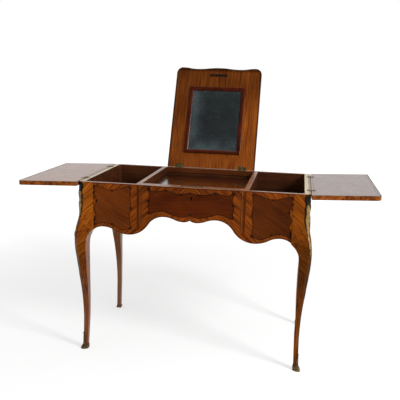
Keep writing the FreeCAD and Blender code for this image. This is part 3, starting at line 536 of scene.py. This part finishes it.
def fuller_leg(points, tree, way):
    """The points of a front leg with a straight inner corner and a shank that stands out."""
    lines, moved = {}, []
    for point in points:
        place = (point - SHIFT) / MM
        height = place.z
        out, back = HALF_WIDTH - way * place.x, HALF_DEPTH + place.y
        if height < ARCH_END[0][0]:
            key = round(height, 2)
            if key not in lines:
                level = min(max(height, 0.3), 540)
                start = row(way * (HALF_WIDTH - PROBE_IN - 0.4), PROBE_IN - HALF_DEPTH, level)
                hit = tree.ray_cast(start, Vector((way, -1, 0)).normalized())[0]
                inner = HALF_WIDTH - way * (hit - SHIFT).x / MM if hit else 42
                start = row(way * PROBE_OUT, inner - 2 - HALF_DEPTH, level)
                hit = tree.ray_cast(start, Vector((-way, 0, 0)))[0]
                outer = HALF_WIDTH - way * (hit - SHIFT).x / MM if hit else 0
                lines[key] = (outer, inner)
            outer, inner = lines[key]
            if height > ARCH_END[-1][0]:
                inward = -through(ARCH_END, height)
            else:
                inward = through(LEG_CORNER, height) - inner
            inward -= way * through(LEAN, height)
            moves = []
            for inset in (out, back):
                share = (inset - outer) / (inner - outer)
                if share <= 1:
                    share = max(share, 0)
                    moves.append((share - 1) * through(LEG_OUT, height) + share * inward)
                else:
                    moves.append(inward * max(0, (WING - inset) / (WING - inner)))
            place = Vector((way * (HALF_WIDTH - out - moves[0]), back + moves[1] - HALF_DEPTH,
                            height))
            point = place * MM + SHIFT
        moved.append(point)
    return moved


def spread_leg(points):
    """The points of the back legs or shoes, with the right ones leaning out a little."""
    return [point + Vector((MM * through(SPREAD, point.z / MM) if point.x > 0 else 0, 0, 0))
            for point in points]


def dress(node, material, slot, width):
    """A copy of a CAD node with softened edges, which stands for it."""
    source = nodes[node]
    work = bmesh.new()
    work.from_mesh(source.data)
    bmesh.ops.remove_doubles(work, verts=work.verts, dist=0.00002)
    bmesh.ops.dissolve_limit(work, angle_limit=math.radians(0.5), verts=work.verts,
                             edges=work.edges)
    tree = BVHTree.FromBMesh(work)
    points, faces = taken_out(work)
    if node.startswith("leg_front"):
        points = fuller_leg(points, tree, 1 if node.endswith("right") else -1)
    elif node.startswith("leg_back"):
        points = spread_leg(points)
    elif node == "back_shoes":
        points = spread_leg([Vector((point.x, point.y, point.z / 2)) for point in points])
    piece = mesh_piece("dressed_" + node, points, faces, material, source["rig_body"], slot)
    if width:
        bevel = piece.modifiers.new("bevel", "BEVEL")
        bevel.width = width * MM
        bevel.segments = 2
        bevel.limit_method = "ANGLE"
        bevel.angle_limit = math.radians(32)
        normals = piece.modifiers.new("normals", "WEIGHTED_NORMAL")
        normals.keep_sharp = True
    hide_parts(node)
    return piece


def paint(piece, material, wanted):
    """Gives another material to the faces of a piece whose middle and normal are wanted."""
    piece.data.materials.append(material)
    number = len(piece.data.materials) - 1
    for face in piece.data.polygons:
        if wanted((face.center - SHIFT) / MM, face.normal):
            face.material_index = number


SINK, STRIP = 0.5, 6.0


def inlay(name, outlines, material, slot="veneer", proud=0.12, body="case"):
    """Closed sheets of veneer let into the front, each inside a closed outline."""
    work = bmesh.new()
    for outline in outlines:
        work.faces.new([work.verts.new((p[0], 0, p[1])) for p in outline])
    low = min(p[0] for outline in outlines for p in outline)
    high = max(p[0] for outline in outlines for p in outline)
    cut = math.floor(low / STRIP) * STRIP + STRIP
    while cut < high:
        bmesh.ops.bisect_plane(work, geom=work.verts[:] + work.edges[:] + work.faces[:],
                               plane_co=(cut, 0, 0), plane_no=(1, 0, 0), dist=0.0001)
        cut += STRIP
    made = bmesh.ops.extrude_face_region(work, geom=work.faces[:], use_keep_orig=True)
    behind = {item for item in made["geom"] if isinstance(item, bmesh.types.BMVert)}
    for vert in work.verts:
        vert.co = on_front(vert.co.x, vert.co.z, -SINK if vert in behind else proud)
    return mesh_piece(name, *taken_out(work), material, body, slot)


def band(name, lines, width, material, body, place=on_front, proud=0.2, closed=True):
    """Strings of veneer let into a face along lines, which are closed or have two ends."""
    sets = []
    for line in lines:
        rings = []
        for index, point in enumerate(line):
            out = sideways(line, index, closed) * width / 2
            rings.append([place(*(point + side * out), depth) for side, depth in
                          ((1, proud), (-1, proud), (-1, -SINK), (1, -SINK))])
        sets.append(rings)
    return mesh_piece(name, *tubes(sets, closed), material, body, "banding", 40.0)


def grid_piece(name, rows, inner_rows, crests, material, smooth, around=False):
    """A closed gilt skin between an outer and an inner grid of points."""
    high, wide = len(rows), len(rows[0])
    points = [p for line in rows + inner_rows for p in line]
    base = high * wide
    faces = []
    columns = [(j, (j + 1) % wide) for j in range(wide if around else wide - 1)]
    for a, b in columns:
        for i in range(0, base - wide, wide):
            faces.append([i + a, i + b, i + b + wide, i + a + wide])
            faces.append([base + i + a, base + i + b, base + i + b + wide, base + i + a + wide])
        for i in (0, base - wide):
            faces.append([i + a, i + b, base + i + b, base + i + a])
    if not around:
        for a in (0, wide - 1):
            faces += [[i + a, i + a + wide, base + i + a + wide, base + i + a]
                      for i in range(0, base - wide, wide)]
    return mesh_piece(name, points, faces, material, "case", "gilt", smooth,
                      crests + [0.0] * base)


# ---- dressed nodes

DRESSED = (
    ("leg", "veneer", 0.8, "leg_front_left"), ("shaded_leg_right", "veneer", 0.8, "leg_front_right"),
    ("back_leg", "veneer", 1.0, "leg_back_left leg_back_right"),
    ("crossband", "veneer", 0.6, "front_panel_left front_panel_right"),
    ("side", "veneer", 0.8, "side_panel_left side_panel_right"),
    ("crossband", "veneer", 0.6, "drawer_front"),
    ("top", "top_veneer", 0.0, "flap_board_left"),
    ("top_right", "top_veneer", 0.0, "flap_board_right"),
    ("lid", "lid_veneer", 0.0, "lid_board"),
    ("banding", "banding", 1.6, "flap_lipping_left flap_lipping_right"),
    ("banding", "banding", 1.4, "lid_lipping"),
    ("side", "tray_veneer", 0.8, "back_panel"),
    ("rail", "tray_veneer", 0.6, "hinge_rail tray_front_rail"),
    ("tray", "tray_veneer", 0.0, "tray_bottom"),
    ("rail", "tray_veneer", 0.7, "partition_left partition_right"),
    ("well", "secondary", 0.0, "well_bottom_left well_bottom_right"),
    ("secondary", "secondary", 0.5,
     "well_cleats tray_cleats drawer_side_left drawer_side_right drawer_back"),
    ("secondary", "secondary", 0.0, "drawer_bottom"),
    ("secondary", "secondary", 0.5, "drawer_runners drawer_stops"),
    ("moulding", "moulding", 0.3, "mirror_moulding"),
)
NEAR = 0.6
OUTER_FACE = Vector((0, -math.sin(LID_TURN), math.cos(LID_TURN)))


def in_well(middle, normal):
    """Whether a face stands inside the walls of the case, above the aprons."""
    return (abs(middle.x) < WELL[0] + NEAR and WELL[1] - NEAR < middle.y < WELL[2] + NEAR
            and middle.z > APRON and normal.z < 0.9)


def at_rim(middle, normal):
    """Whether a face is the top edge of the case."""
    return middle.z > RIM - NEAR and normal.z > 0.9


PAINTS = (
    ("leg side front_panel back_panel partition", "well", in_well),
    ("leg side front_panel back_panel partition drawer_front tray_front_rail hinge_rail", "rim",
     at_rim),
    # Painted shade: the end faces of the drawer and panels take the near-black edge veneer, for the
    # shade in the joints between them.
    ("drawer_front front_panel", "edge", lambda middle, normal: abs(normal.x) > 0.9),
    # Painted shade: the level faces of the flaps' lipping take the near-black edge veneer, for the
    # shade along their rounded edges.
    ("flap_lipping", "edge", lambda middle, normal: abs(normal.z) > 0.9),
    ("flap_board", "quarters", lambda middle, normal: normal.z < -0.9),
    # Painted shade: the lid lipping's faces take the near-black edge veneer, for the shade along
    # its rounded edge.
    ("lid_lipping", "edge", lambda middle, normal: abs(normal.dot(OUTER_FACE)) > 0.9),
    ("lid_board", "quarters", lambda middle, normal: normal.dot(OUTER_FACE) > 0.9),
)
dressed = {"back_shoes": dress("back_shoes", shoe_gilt, "gilt", 1.0)}
for kind, slot, width, names in DRESSED:
    for node in names.split():
        dressed[node] = dress(node, woods[kind], slot, width)
        for starts, other, wanted in PAINTS:
            if node.startswith(tuple(starts.split())):
                paint(dressed[node], woods[other], wanted)

METALS = {"strike_plate": lock_brass, "lock_case": lock_brass, "escutcheon": escutcheon_brass,
          "lock_bolt": steel, "mirror_glass": mirror}
for node in nodes:
    if node in METALS or "_hinge_" in node:
        nodes[node].data.materials.clear()
        nodes[node].data.materials.append(METALS.get(node, hinge_brass))

# ---- inlay of the front

DRAWER_LINE = [
    (0, 723), (16, 721), (38, 718), (60, 719), (80, 724), (100, 728.5), (118, 726), (134, 721.5),
    (150, 720), (162, 725), (169, 733), (175, 732), (174, 722), (169, 708), (168, 694), (172, 680),
    (175, 666), (172, 652), (173, 641), (176, 633), (171, 627), (162, 628.5), (150, 633.5),
    (136, 640), (122, 643), (106, 642), (88, 635.5), (68, 629), (48, 625), (28, 624), (12, 627),
    (0, 636)
]
PANEL_LINE = [
    (251, 730), (260, 733), (276, 729), (292, 724), (306, 718), (318, 716), (328, 712), (338, 716),
    (352, 719), (366, 724), (382, 729), (396, 732), (404, 727), (401, 714), (405, 702), (399, 686),
    (394, 668), (397, 654), (403, 640), (399, 620), (396, 602), (402, 588), (406, 574),
    (398, 568.5), (384, 573), (366, 577.5), (346, 576), (328, 569), (311, 560), (296, 553),
    (282, 551), (266, 555), (252, 561), (250, 575), (254, 600), (250, 630), (247, 660), (252, 690),
    (248, 712)
]
KEYHOLE = (5, 706, 4.1, 2.9, 695.2)
PETAL = 7.0
DRAWER_KNOTS = [
    (0, 633, 90), (172, 631, 215), (172, 729, 145), (100, 728, 90), (38, 718, 270), (172, 680, 0)
]
PANEL_KNOTS = [
    (403, 572, 320), (402, 727, 40), (328, 714, 90), (394, 668, 180), (251, 563, 225),
    (403, 702, 0), (252, 729, 135), (402, 588, 0), (328, 570, 90), (250, 645, 180)
]


def knot(x, z, turn):
    """Petals of a small flower that grows one way."""
    loops = []
    for spread, reach in ((-125, 0.7), (-62, 0.95), (0, 1.15), (62, 0.95), (125, 0.7)):
        angle = math.radians(turn + spread)
        way = Vector((math.cos(angle), math.sin(angle)))
        across = Vector((-way.y, way.x))
        petal = []
        for step in range(10):
            t = step / 10 * 2 * math.pi
            along = PETAL * reach * (0.15 + 0.5 * (1 - math.cos(t)))
            beside = PETAL * 0.20 * math.sin(t) * (1.25 - 0.25 * math.cos(t))
            petal.append(Vector((x, z)) + way * along + across * beside)
        loops.append(petal)
    return loops


def knots(places, way=1):
    """The petals of all small flowers of one half of the front."""
    loops = [loop for place in places for loop in knot(*place)]
    return loops if way > 0 else [mirrored(loop) for loop in loops]


edge = lower_edge()


def edge_part(low, high, inset):
    """The scalloped edge between two distances from the middle, moved up into the board."""
    moved = []
    for index, point in enumerate(edge):
        place = point + sideways(edge, index) * inset
        if low <= place.x <= high:
            moved.append(place)
    return moved


def parted(half, hole):
    """The two parts of a cartouche that meet above and below a keyhole right of its middle."""
    x, z, radius, slot, low = hole
    lead = [index for index, point in enumerate(half) if point.x > x]
    first, last = lead[0], lead[-1]
    top, bottom = Vector((x, half[first].y)), Vector((x, half[last].y))
    start = math.asin(slot / radius)
    arc = [Vector((radius * math.sin(turn), -radius * math.cos(turn))) for turn in
           (start + (math.pi - start) * step / 8 for step in range(9))]
    notch = [Vector((0, low - z)), Vector((slot, low - z))] + arc
    right = [Vector((x, z)) + point for point in notch]
    left = [Vector((x - point.x, z + point.y)) for point in notch[::-1]]
    others = half[last + 1:] + mirrored(half[::-1][1:-1]) + half[:first]
    return [[top] + half[first:last + 1] + [bottom] + right, [bottom] + others + [top] + left]


def line_of(x, heights):
    """An upright line of the front."""
    return [Vector((x, z)) for z in heights]


EDGE_INSET, TOP_LINE = 2.6, 742.6
half = smooth_line(DRAWER_LINE, 5, False)
drawer_loop = half + mirrored(half[::-1][1:-1])
inlay("inlay_drawer_field", parted(half, KEYHOLE), woods["drawer_field"], body="drawer")
band("inlay_drawer_string", [drawer_loop], 2.8, woods["string"], "drawer")
inlay("inlay_drawer_knots", knots(DRAWER_KNOTS) + knots(DRAWER_KNOTS[1:], -1), woods["string"],
      "banding", 0.3, "drawer")
drawer_edge = edge_part(0, 206, EDGE_INSET)
band("inlay_drawer_edge", [mirrored(drawer_edge[::-1][:-1]) + drawer_edge], 1.8, woods["string"],
     "drawer", closed=False)
for side, way in SIDES:
    for name, x, foot, width, kind in (
            ("side", 207.3, 575, 1.3, "pale"), ("line", 204.4, 580, 1.6, "string")):
        band("inlay_drawer_" + name + "_" + side, [line_of(way * x, (foot, 630, 690, 743))], width,
             woods[kind], "drawer", closed=False)

panel_loop = smooth_line(PANEL_LINE)
panel_edge = edge_part(214, 405, EDGE_INSET)
leg_edge = edge_part(408.5, 430, EDGE_INSET)
for side, way in SIDES:
    turned = (lambda line: line) if way > 0 else mirrored
    inlay("inlay_field_" + side, [turned(panel_loop)], woods["field"])
    band("inlay_string_" + side, [turned(panel_loop)], 2.3, woods["string"], "case")
    inlay("inlay_knots_" + side, knots(PANEL_KNOTS, way), woods["string"], "banding", 0.3)
    dark = [Vector(place) for place in ((213.5, 743), (222, 743), (222, 552), (213.5, 559))]
    inlay("inlay_stile_" + side, [turned(dark)], woods["drawer_field"])
    for name, width, lines in (
            ("edge", 1.8, [turned(panel_edge), turned(leg_edge)]),
            ("joint", 1.2, [line_of(way * 406.9, (556, 600, 650, 700, 743))]),
            ("top_line", 1.4, [[Vector((x * way, TOP_LINE)) for x in range(214, 448, 9)]])):
        band("inlay_" + name + "_" + side, lines, width, woods["string"], "case", closed=False)
band("inlay_top_line_drawer", [[Vector((x, TOP_LINE)) for x in range(-207, 208, 9)]], 1.4,
     woods["string"], "drawer", closed=False)

# ---- inlay of the top

def lid_outer(x, along, proud):
    """A place on the outer face of the open lid."""
    return on_lid(x, along, BOARD + proud)


def lid_inner(x, along, proud):
    """A place on the inner face of the open lid."""
    return on_lid(x, along, INNER - proud)


def flap_face(side, inner):
    """The places on the inner or outer face of an open flap."""
    face, out = (INNER, -1) if inner else (BOARD, 1)
    return lambda along, y, proud: on_flap(side, along, y, face + out * proud)


for name, inset, radius, width, kind in (
        ("string", 26, 26, 2.6, "string"), ("line", 36, 20, 1.4, "pale")):
    outline = round_rectangle((inset - 212, inset), (212 - inset, 508 - inset), radius)
    band("inlay_lid_" + name, [outline], width, woods[kind], "mirror_lid", place=lid_outer)
for side, way in SIDES:
    for name, low, high, radius, width, kind, inner, proud in (
            ("string", (24, -236), (236, 225), 24, 2.6, "string", False, 0.2),
            ("line", (34, -226), (226, 215), 18, 1.4, "pale", False, 0.2),
            ("edge", (9, -252), (249, 241), 14, 1.0, "edge", True, 0.05)):
        band("inlay_flap_" + name + "_" + side, [round_rectangle(low, high, radius)], width,
             woods[kind], side + "_flap", place=flap_face(side, inner), proud=proud)

# A bead closes the gap between each flap and the case, below the hinges' knuckles; its near-black
# edge veneer is painted shade, for the dark hinge gap.
BEAD_SEAT, BEAD_TOP, BEAD_FOOT, BEAD_CANT = 1.9, 4.4, 17.0, 0.6
BEAD_STOPS = [(-240, 0.4), (-238, 0)] + [(y, 0) for y in range(-220, 221, 20)] + [(227, 0.4)]
for side, near in (("left", 0.4), ("right", -0.6)):
    profile = [(BEAD_SEAT, BEAD_TOP), (near + BEAD_CANT, BEAD_TOP), (near, BEAD_TOP + 0.8),
               (near, BEAD_FOOT - 0.8), (near + BEAD_CANT, BEAD_FOOT), (BEAD_SEAT, BEAD_FOOT)]
    rings = [[on_flap(side, along + (BEAD_SEAT - along) * shy, y, height)
              for along, height in profile] for y, shy in BEAD_STOPS]
    mesh_piece("flap_bead_" + side, *tubes([rings]), woods["edge"], side + "_flap", "banding")

# ---- screws

SCREW_SLOT, SCREW_IN = 0.35, 10
HEAD, SLOT_FLOOR = (0.15, -0.4), (-0.15, -0.6)  # top and bottom, above the leaf


def screw_heads(name, places, place, body, radius=2.0):
    """Countersunk heads, each two half discs with the slot between them on a lower disc."""
    sets = []
    start = math.asin(SCREW_SLOT / radius)
    half = [start + (math.pi - 2 * start) * step / 8 for step in range(9)]
    whole = [step / 8 * math.pi for step in range(16)]
    for number, (x, y) in enumerate(places):
        angle = 0.6 + 1.7 * number
        axis = Vector((math.cos(angle), math.sin(angle)))
        side = Vector((-axis.y, axis.x))
        for turns, way, reach, depths in (
                (half, 1, radius, HEAD), (half, -1, radius, HEAD),
                (whole, 1, radius * 0.98, SLOT_FLOOR)):
            ring = [(axis * math.cos(turn) + side * way * math.sin(turn)) * reach
                    for turn in turns]
            sets.append([[place(x + p.x, y + p.y, depth) for p in ring] for depth in depths])
    return mesh_piece(name, *tubes(sets), lock_brass, body, "hinge_brass", 40.0)


def rail_top(x, y, height):
    """A place on the top of the case."""
    return row(x, y, RIM + height)


lid_places = [(way * 152 + offset, SCREW_IN) for way in (-1, 1) for offset in (-13, 0, 13)]
spots = [way * 162 + offset for way in (-1, 1) for offset in (-11, 0, 11)]
screw_heads("screws_lid_fixed", [(x, LID_AXIS - y) for x, y in lid_places], rail_top, "case")
screw_heads("screws_lid_moving", lid_places, lid_inner, "mirror_lid")
for side, way in SIDES:
    screw_heads("screws_flap_fixed_" + side, [(way * (FLAP_AXIS - SCREW_IN), y) for y in spots],
                rail_top, "case")
    screw_heads("screws_flap_moving_" + side, [(SCREW_IN, y) for y in spots],
                flap_face(side, True), side + "_flap")
screw_heads("screws_strike", [(-39, 491.5), (39, 491.5)], lid_inner, "mirror_lid", 1.9)

# ---- gilt mounts

MOUNT_FRONTS = [
    (742, 14), (736, 16.5), (722, 17), (708, 14.5), (702, 13), (694, 15), (680, 15.5), (664, 14),
    (650, 14.5), (636, 14), (622, 12.5), (610, 10), (598, 7.5), (584, 6), (566, 5.5), (552, 6.5),
    (538, 7.5), (522, 6.8), (510, 4.4), (500, 3), (480, 1.7), (78, 1.6)
]
MOUNT_SIDES = [
    (742, 8.5), (738, 9.5), (726, 11.5), (712, 12.5), (703, 12), (694, 13), (680, 13.2),
    (664, 12.4), (650, 12.8), (636, 13), (622, 12), (610, 9.5), (598, 7), (584, 5.2), (566, 4.6),
    (552, 5.8), (538, 7), (522, 6.2), (510, 4.2), (500, 3), (480, 1.7), (78, 1.6)
]
MOUNT_HEIGHTS = [
    (742, 1), (730, 1.8), (712, 2.6), (703, 1.2), (695, 3), (675, 4.4), (655, 3.4), (640, 3.8),
    (620, 4), (600, 2.8), (580, 2), (560, 2.2), (545, 3.4), (528, 3.2), (510, 1.8), (495, 0.9),
    (78, 0.8)
]
MOUNT_TOP, MOUNT_FOOT, MOUNT_COLUMNS = 742.0, 78.0, 18
SHELL_FOOT, FROND, FROND_SLOPE = 704, 11.5, 1.25


def corner_point(way, out, across, height):
    """A point by its distance out of and across a front corner's diagonal plane."""
    x = HALF_WIDTH + (out + across) / ROOT_TWO
    return row(way * x, -HALF_DEPTH + (across - out) / ROOT_TWO, height)


def corner_depth(tree, way, across, height):
    """How far out the wood of a front corner stands."""
    start = corner_point(way, 60, across, height)
    inward = (corner_point(way, 0, across, height) - start).normalized()
    hit = tree.ray_cast(start, inward)[0]
    return 60 - (hit - start).length / MM if hit else None


def mount_relief(across, width, height):
    """Height of the carving: a fan above, acanthus fronds below it, husks and a bead line."""
    share = abs(across) / width
    crown = through(MOUNT_HEIGHTS, height)
    if height > SHELL_FOOT:
        angle = math.atan2(across, height - 692)
        rib = 0.5 + 0.5 * math.cos(angle * 13)
        return crown * (1 - 0.55 * share ** 2) * (0.45 + 0.55 * rib) + 0.5
    if height > APRON:
        phase = (height + FROND_SLOPE * abs(across)) / FROND
        frond = abs(math.sin(math.pi * phase)) ** 0.6
        vein = max(0, 1 - abs(across) / 1.6)
        body = crown * max(0.0, 1 - share ** 2.2) ** 0.6
        return body * (0.5 + 0.5 * frond) + 0.7 * vein + 0.4
    bead = abs(math.sin(math.pi * height / 5.2)) ** 0.5
    return crown * (0.75 + 0.35 * bead) * (1 - 0.5 * share ** 2)


def corner_mount(side, way):
    """The cast mount on a front corner, from the rim to the knee and down to the sabot."""
    work = bmesh.new()
    work.from_mesh(dressed["leg_front_" + side].data)
    tree = BVHTree.FromBMesh(work)
    work.free()
    heights = [MOUNT_TOP]
    while heights[-1] > MOUNT_FOOT:
        heights.append(max(heights[-1] - (1.25 if heights[-1] > APRON else 1.7), MOUNT_FOOT))
    rows, inner, crests = [], [], []
    for height in heights:
        widths = [through(MOUNT_FRONTS, height), through(MOUNT_SIDES, height)]
        if APRON < height < SHELL_FOOT:
            for index, width in enumerate(widths):
                ragged = abs(math.sin(math.pi * (height + FROND_SLOPE * width) / FROND))
                widths[index] *= 0.86 + 0.2 * ragged
        line, back = [], []
        for column in range(MOUNT_COLUMNS + 1):
            share = 2 * column / MOUNT_COLUMNS - 1
            width = widths[share > 0]
            across = width * share
            out = corner_depth(tree, way, across, height)
            if out is None:
                out = last_out
            last_out = out
            relief = mount_relief(across, width, height)
            top = out + relief
            crests.append(relief / (through(MOUNT_HEIGHTS, height) + 1.2))
            if height > 722:
                top = min(top, 1.2 - across)
            line.append(corner_point(way, max(top, out + 0.2), across, height))
            back.append(corner_point(way, out - 0.4, across, height))
        rows.append(line)
        inner.append(back)
    piece = grid_piece("mount_" + side, rows, inner, crests, gilt, 60.0)
    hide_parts("corner_mount_" + side)
    return tree


def scroll(tree, way, spots, thick):
    """The rings of a tapering bright leaf that curls over the mount."""
    line = smooth_line(spots, 8, False)
    rings = []
    for index, spot in enumerate(line):
        share = min(1, 0.15 + 0.85 * index / (len(line) - 1))
        radius = thick * (0.35 + 0.65 * math.sin(math.pi * share) ** 0.7)
        across = sideways(line, index)
        out = (corner_depth(tree, way, spot.x, spot.y) or 0) + 3.0
        ring = []
        for step in range(10):
            angle = 2 * math.pi * step / 10
            rim = spot + across * radius * math.cos(angle)
            ring.append(corner_point(way, out + radius * 0.9 * math.sin(angle), rim.x, rim.y))
        rings.append(ring)
    return rings


SCROLLS = [
    ([(7.5, 708), (10.5, 698), (9.5, 684), (5, 668), (1.5, 652), (3.5, 640), (6, 634)], 1.5),
    ([(-7.5, 706), (-10.5, 694), (-8.5, 680), (-4, 666), (0.5, 648), (0.5, 632), (-1.5, 620)],
     1.6),
    ([(-10.5, 655), (-11.5, 646), (-9, 634), (-5, 624), (-1.5, 612)], 1.7),
    ([(10.5, 658), (11.5, 646), (8.5, 632), (4.5, 620), (1.5, 606)], 1.5),
    ([(0, 700), (1.5, 688), (0.5, 676), (-1.5, 664)], 1.4),
    ([(-4, 552), (-5.5, 542), (-3, 532), (0.5, 538), (0, 546)], 1.3),
    ([(4, 534), (5.2, 524), (2.6, 514), (-0.5, 520), (0, 528)], 1.2),
]
for side, way in SIDES:
    tree = corner_mount(side, way)
    points, faces = tubes([scroll(tree, way, spots, thick) for spots, thick in SCROLLS])
    mesh_piece("mount_leaves_" + side, points, faces, gilt, "case", "gilt", 60.0,
               [0.72] * len(points))

# ---- sabots

SABOT_TOP, SABOT_LOW, SABOT_SIDES, SABOT_LEVELS = 76.5, 15.0, 48, 46
FLARES = [
    (77, 0.2), (60, 0.3), (34, 0.5), (24, 1.2), (16, 4), (10, 8), (6, 10.5), (3, 11.4), (0, 11)
]


def sabot(side, way):
    """A cast shoe: a thin sleeve with a raised leaf on the corner and a flared toe."""
    rings, inner, crests = [], [], []
    for level in range(SABOT_LEVELS + 1):
        share = level / SABOT_LEVELS
        ring, back = [], []
        for step in range(SABOT_SIDES):
            turn = 2 * math.pi * step / SABOT_SIDES
            off = (turn + math.radians(45) + math.pi) % (2 * math.pi) - math.pi
            peak = math.exp(-(off / 0.5) ** 2)
            wave = 0.5 + 0.5 * math.cos(off * 6)
            top = SABOT_LOW + (SABOT_TOP - SABOT_LOW) * peak + 5 * wave * (1 - peak)
            height = top * share
            outer = 12 + 4 * height / 150 - through(LEG_OUT, height)
            inside = through(LEG_CORNER, height)
            middle = Vector((HALF_WIDTH - (outer + inside) / 2,
                             -HALF_DEPTH + (outer + inside) / 2))
            aim = Vector((math.cos(turn), math.sin(turn)))
            reach = (inside - outer) / 2 * (aim.x ** 6 + aim.y ** 6) ** (-1 / 6)
            flare = through(FLARES, height)
            toe = max(0.0, math.cos(off)) ** 1.3
            rib = 0.55 * abs(math.cos(off * 4)) * math.sin(math.pi * min(1, share * 1.05)) ** 0.5
            knob = 1.7 * math.exp(-((height - 71) / 4.5) ** 2) * peak
            rolls = (knob + 0.7 * math.exp(-((top - height) / 2.2) ** 2)
                     + 0.6 * math.exp(-((height - 12) / 2.0) ** 2))
            crests.append(0.3 + 0.35 * rib + 0.25 * rolls + 0.03 * flare * toe)
            at = middle + aim * (reach + 1.3 + rib + rolls + flare * (0.12 + 0.88 * toe))
            ring.append(row(way * at.x, at.y, height))
            at = middle + aim * (reach - 0.6)
            back.append(row(way * at.x, at.y, height))
        rings.append(ring)
        inner.append(back)
    piece = grid_piece("sabot_cast_" + side, rings, inner, crests, sabot_gilt, 55.0, True)
    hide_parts("sabot_" + side)


for side, way in SIDES:
    sabot(side, way)

# ---- camera, light and floor

YAW, PITCH, ROLL = 0.1671, 0.2127, 0.0261
view = bpy.data.cameras.new("camera")
view.lens, view.sensor_width, view.clip_end = 52.118, 36.0, 60.0
camera = bpy.data.objects.new("camera", view)
camera.matrix_world = (Matrix.Translation((0.41393, -2.58025, 1.18534))
                       @ Matrix.Rotation(YAW, 4, "Z")
                       @ Matrix.Rotation(math.pi / 2 - PITCH, 4, "X")
                       @ Matrix.Rotation(ROLL, 4, "Z"))
scene.collection.objects.link(camera)
scene.camera = camera

scene.view_settings.view_transform = "Standard"


def seen_by(net, *rays):
    """One where a ray is of one of the kinds, otherwise nothing."""
    path = net.node("LightPath").outputs
    seen = path["Is Camera Ray"]
    for ray in rays:
        seen = net.math("MAXIMUM", seen, path["Is " + ray + " Ray"])
    return seen


WHITE = (1, 1, 1, 1)
net = Net("studio", "World")
glow = net.rise(seen_by(net, "Glossy", "Transmission"), 0, 1, 0.58, 1.0)
scene.world = net.finish(net.node("Background", {"Color": WHITE, "Strength": glow}))

light = bpy.data.lights.new("key", "AREA")
light.shape, light.size, light.energy = "DISK", 1.0, 95.0
lamp = bpy.data.objects.new("key", light)
LAMP_PLACE, LAMP_AIM = Vector((2.7, -1.65, 2.46)), Vector((0, -0.1, 0.5))
lamp.matrix_world = (Matrix.Translation(LAMP_PLACE)
                     @ (LAMP_AIM - LAMP_PLACE).to_track_quat("-Z", "Y").to_matrix().to_4x4())
scene.collection.objects.link(lamp)


def sheet(name, points, faces, material):
    """A part of the studio, not of the table."""
    mesh = bpy.data.meshes.new(name)
    mesh.from_pydata(points, [], faces)
    mesh.materials.append(material)
    made = bpy.data.objects.new(name, mesh)
    scene.collection.objects.link(made)
    return made


net = Net("studio_floor")
x, y, z = net.split(net.place)
distance = net.math("SQRT", net.plus(net.times(x, x), net.times(y, y)))
tone = net.gray(net.scaled(net.noise(net.place, 3.0), 0.01, 0.475))
plain = net.node("BsdfDiffuse", {"Color": tone})
glow = net.node("Emission", {"Color": WHITE, "Strength": net.rise(distance, 0.9, 3.4, 0.60, 0.86)})
seen_floor = net.node("AddShader", {0: plain.outputs[0], 1: glow.outputs[0]})
lit = net.node("BsdfDiffuse", {"Color": (0.82, 0.82, 0.82, 1)})
choice = net.node("MixShader", {0: seen_by(net, "Glossy"), 1: lit.outputs[0],
                                2: seen_floor.outputs[0]})
sheet("studio_floor", [(-9, -9, 0), (9, -9, 0), (9, 9, 0), (-9, 9, 0)], [[0, 1, 2, 3]],
      net.finish(choice))

net = Net("studio_flag")
black = net.finish(net.node("Emission", {"Color": WHITE, "Strength": 0.006}))
points, faces = [], []
FLAG_STEPS, FLAG_RINGS, FLAG_RADIUS = 24, 10, 4.6
for step in range(FLAG_STEPS + 1):
    turn = math.radians(-172 + 164 * step / FLAG_STEPS)
    for ring in range(FLAG_RINGS + 1):
        rise = math.radians(-3 + 86 * ring / FLAG_RINGS)
        points.append((FLAG_RADIUS * math.cos(turn) * math.cos(rise),
                       FLAG_RADIUS * math.sin(turn) * math.cos(rise),
                       FLAG_RADIUS * math.sin(rise)))
        if step and ring:
            here = step * (FLAG_RINGS + 1) + ring
            before = here - FLAG_RINGS - 1
            faces.append([before - 1, here - 1, here, before])
count = len(points)
points += [(-4.4, -0.85, 0.003), (4.4, -0.85, 0.003), (4.4, -4.5, 0.003), (-4.4, -4.5, 0.003)]
faces.append([count, count + 1, count + 2, count + 3])
flag = sheet("studio_flag", points, faces, black)
flag.visible_camera = flag.visible_diffuse = flag.visible_shadow = False
flag.visible_transmission = flag.visible_volume_scatter = False
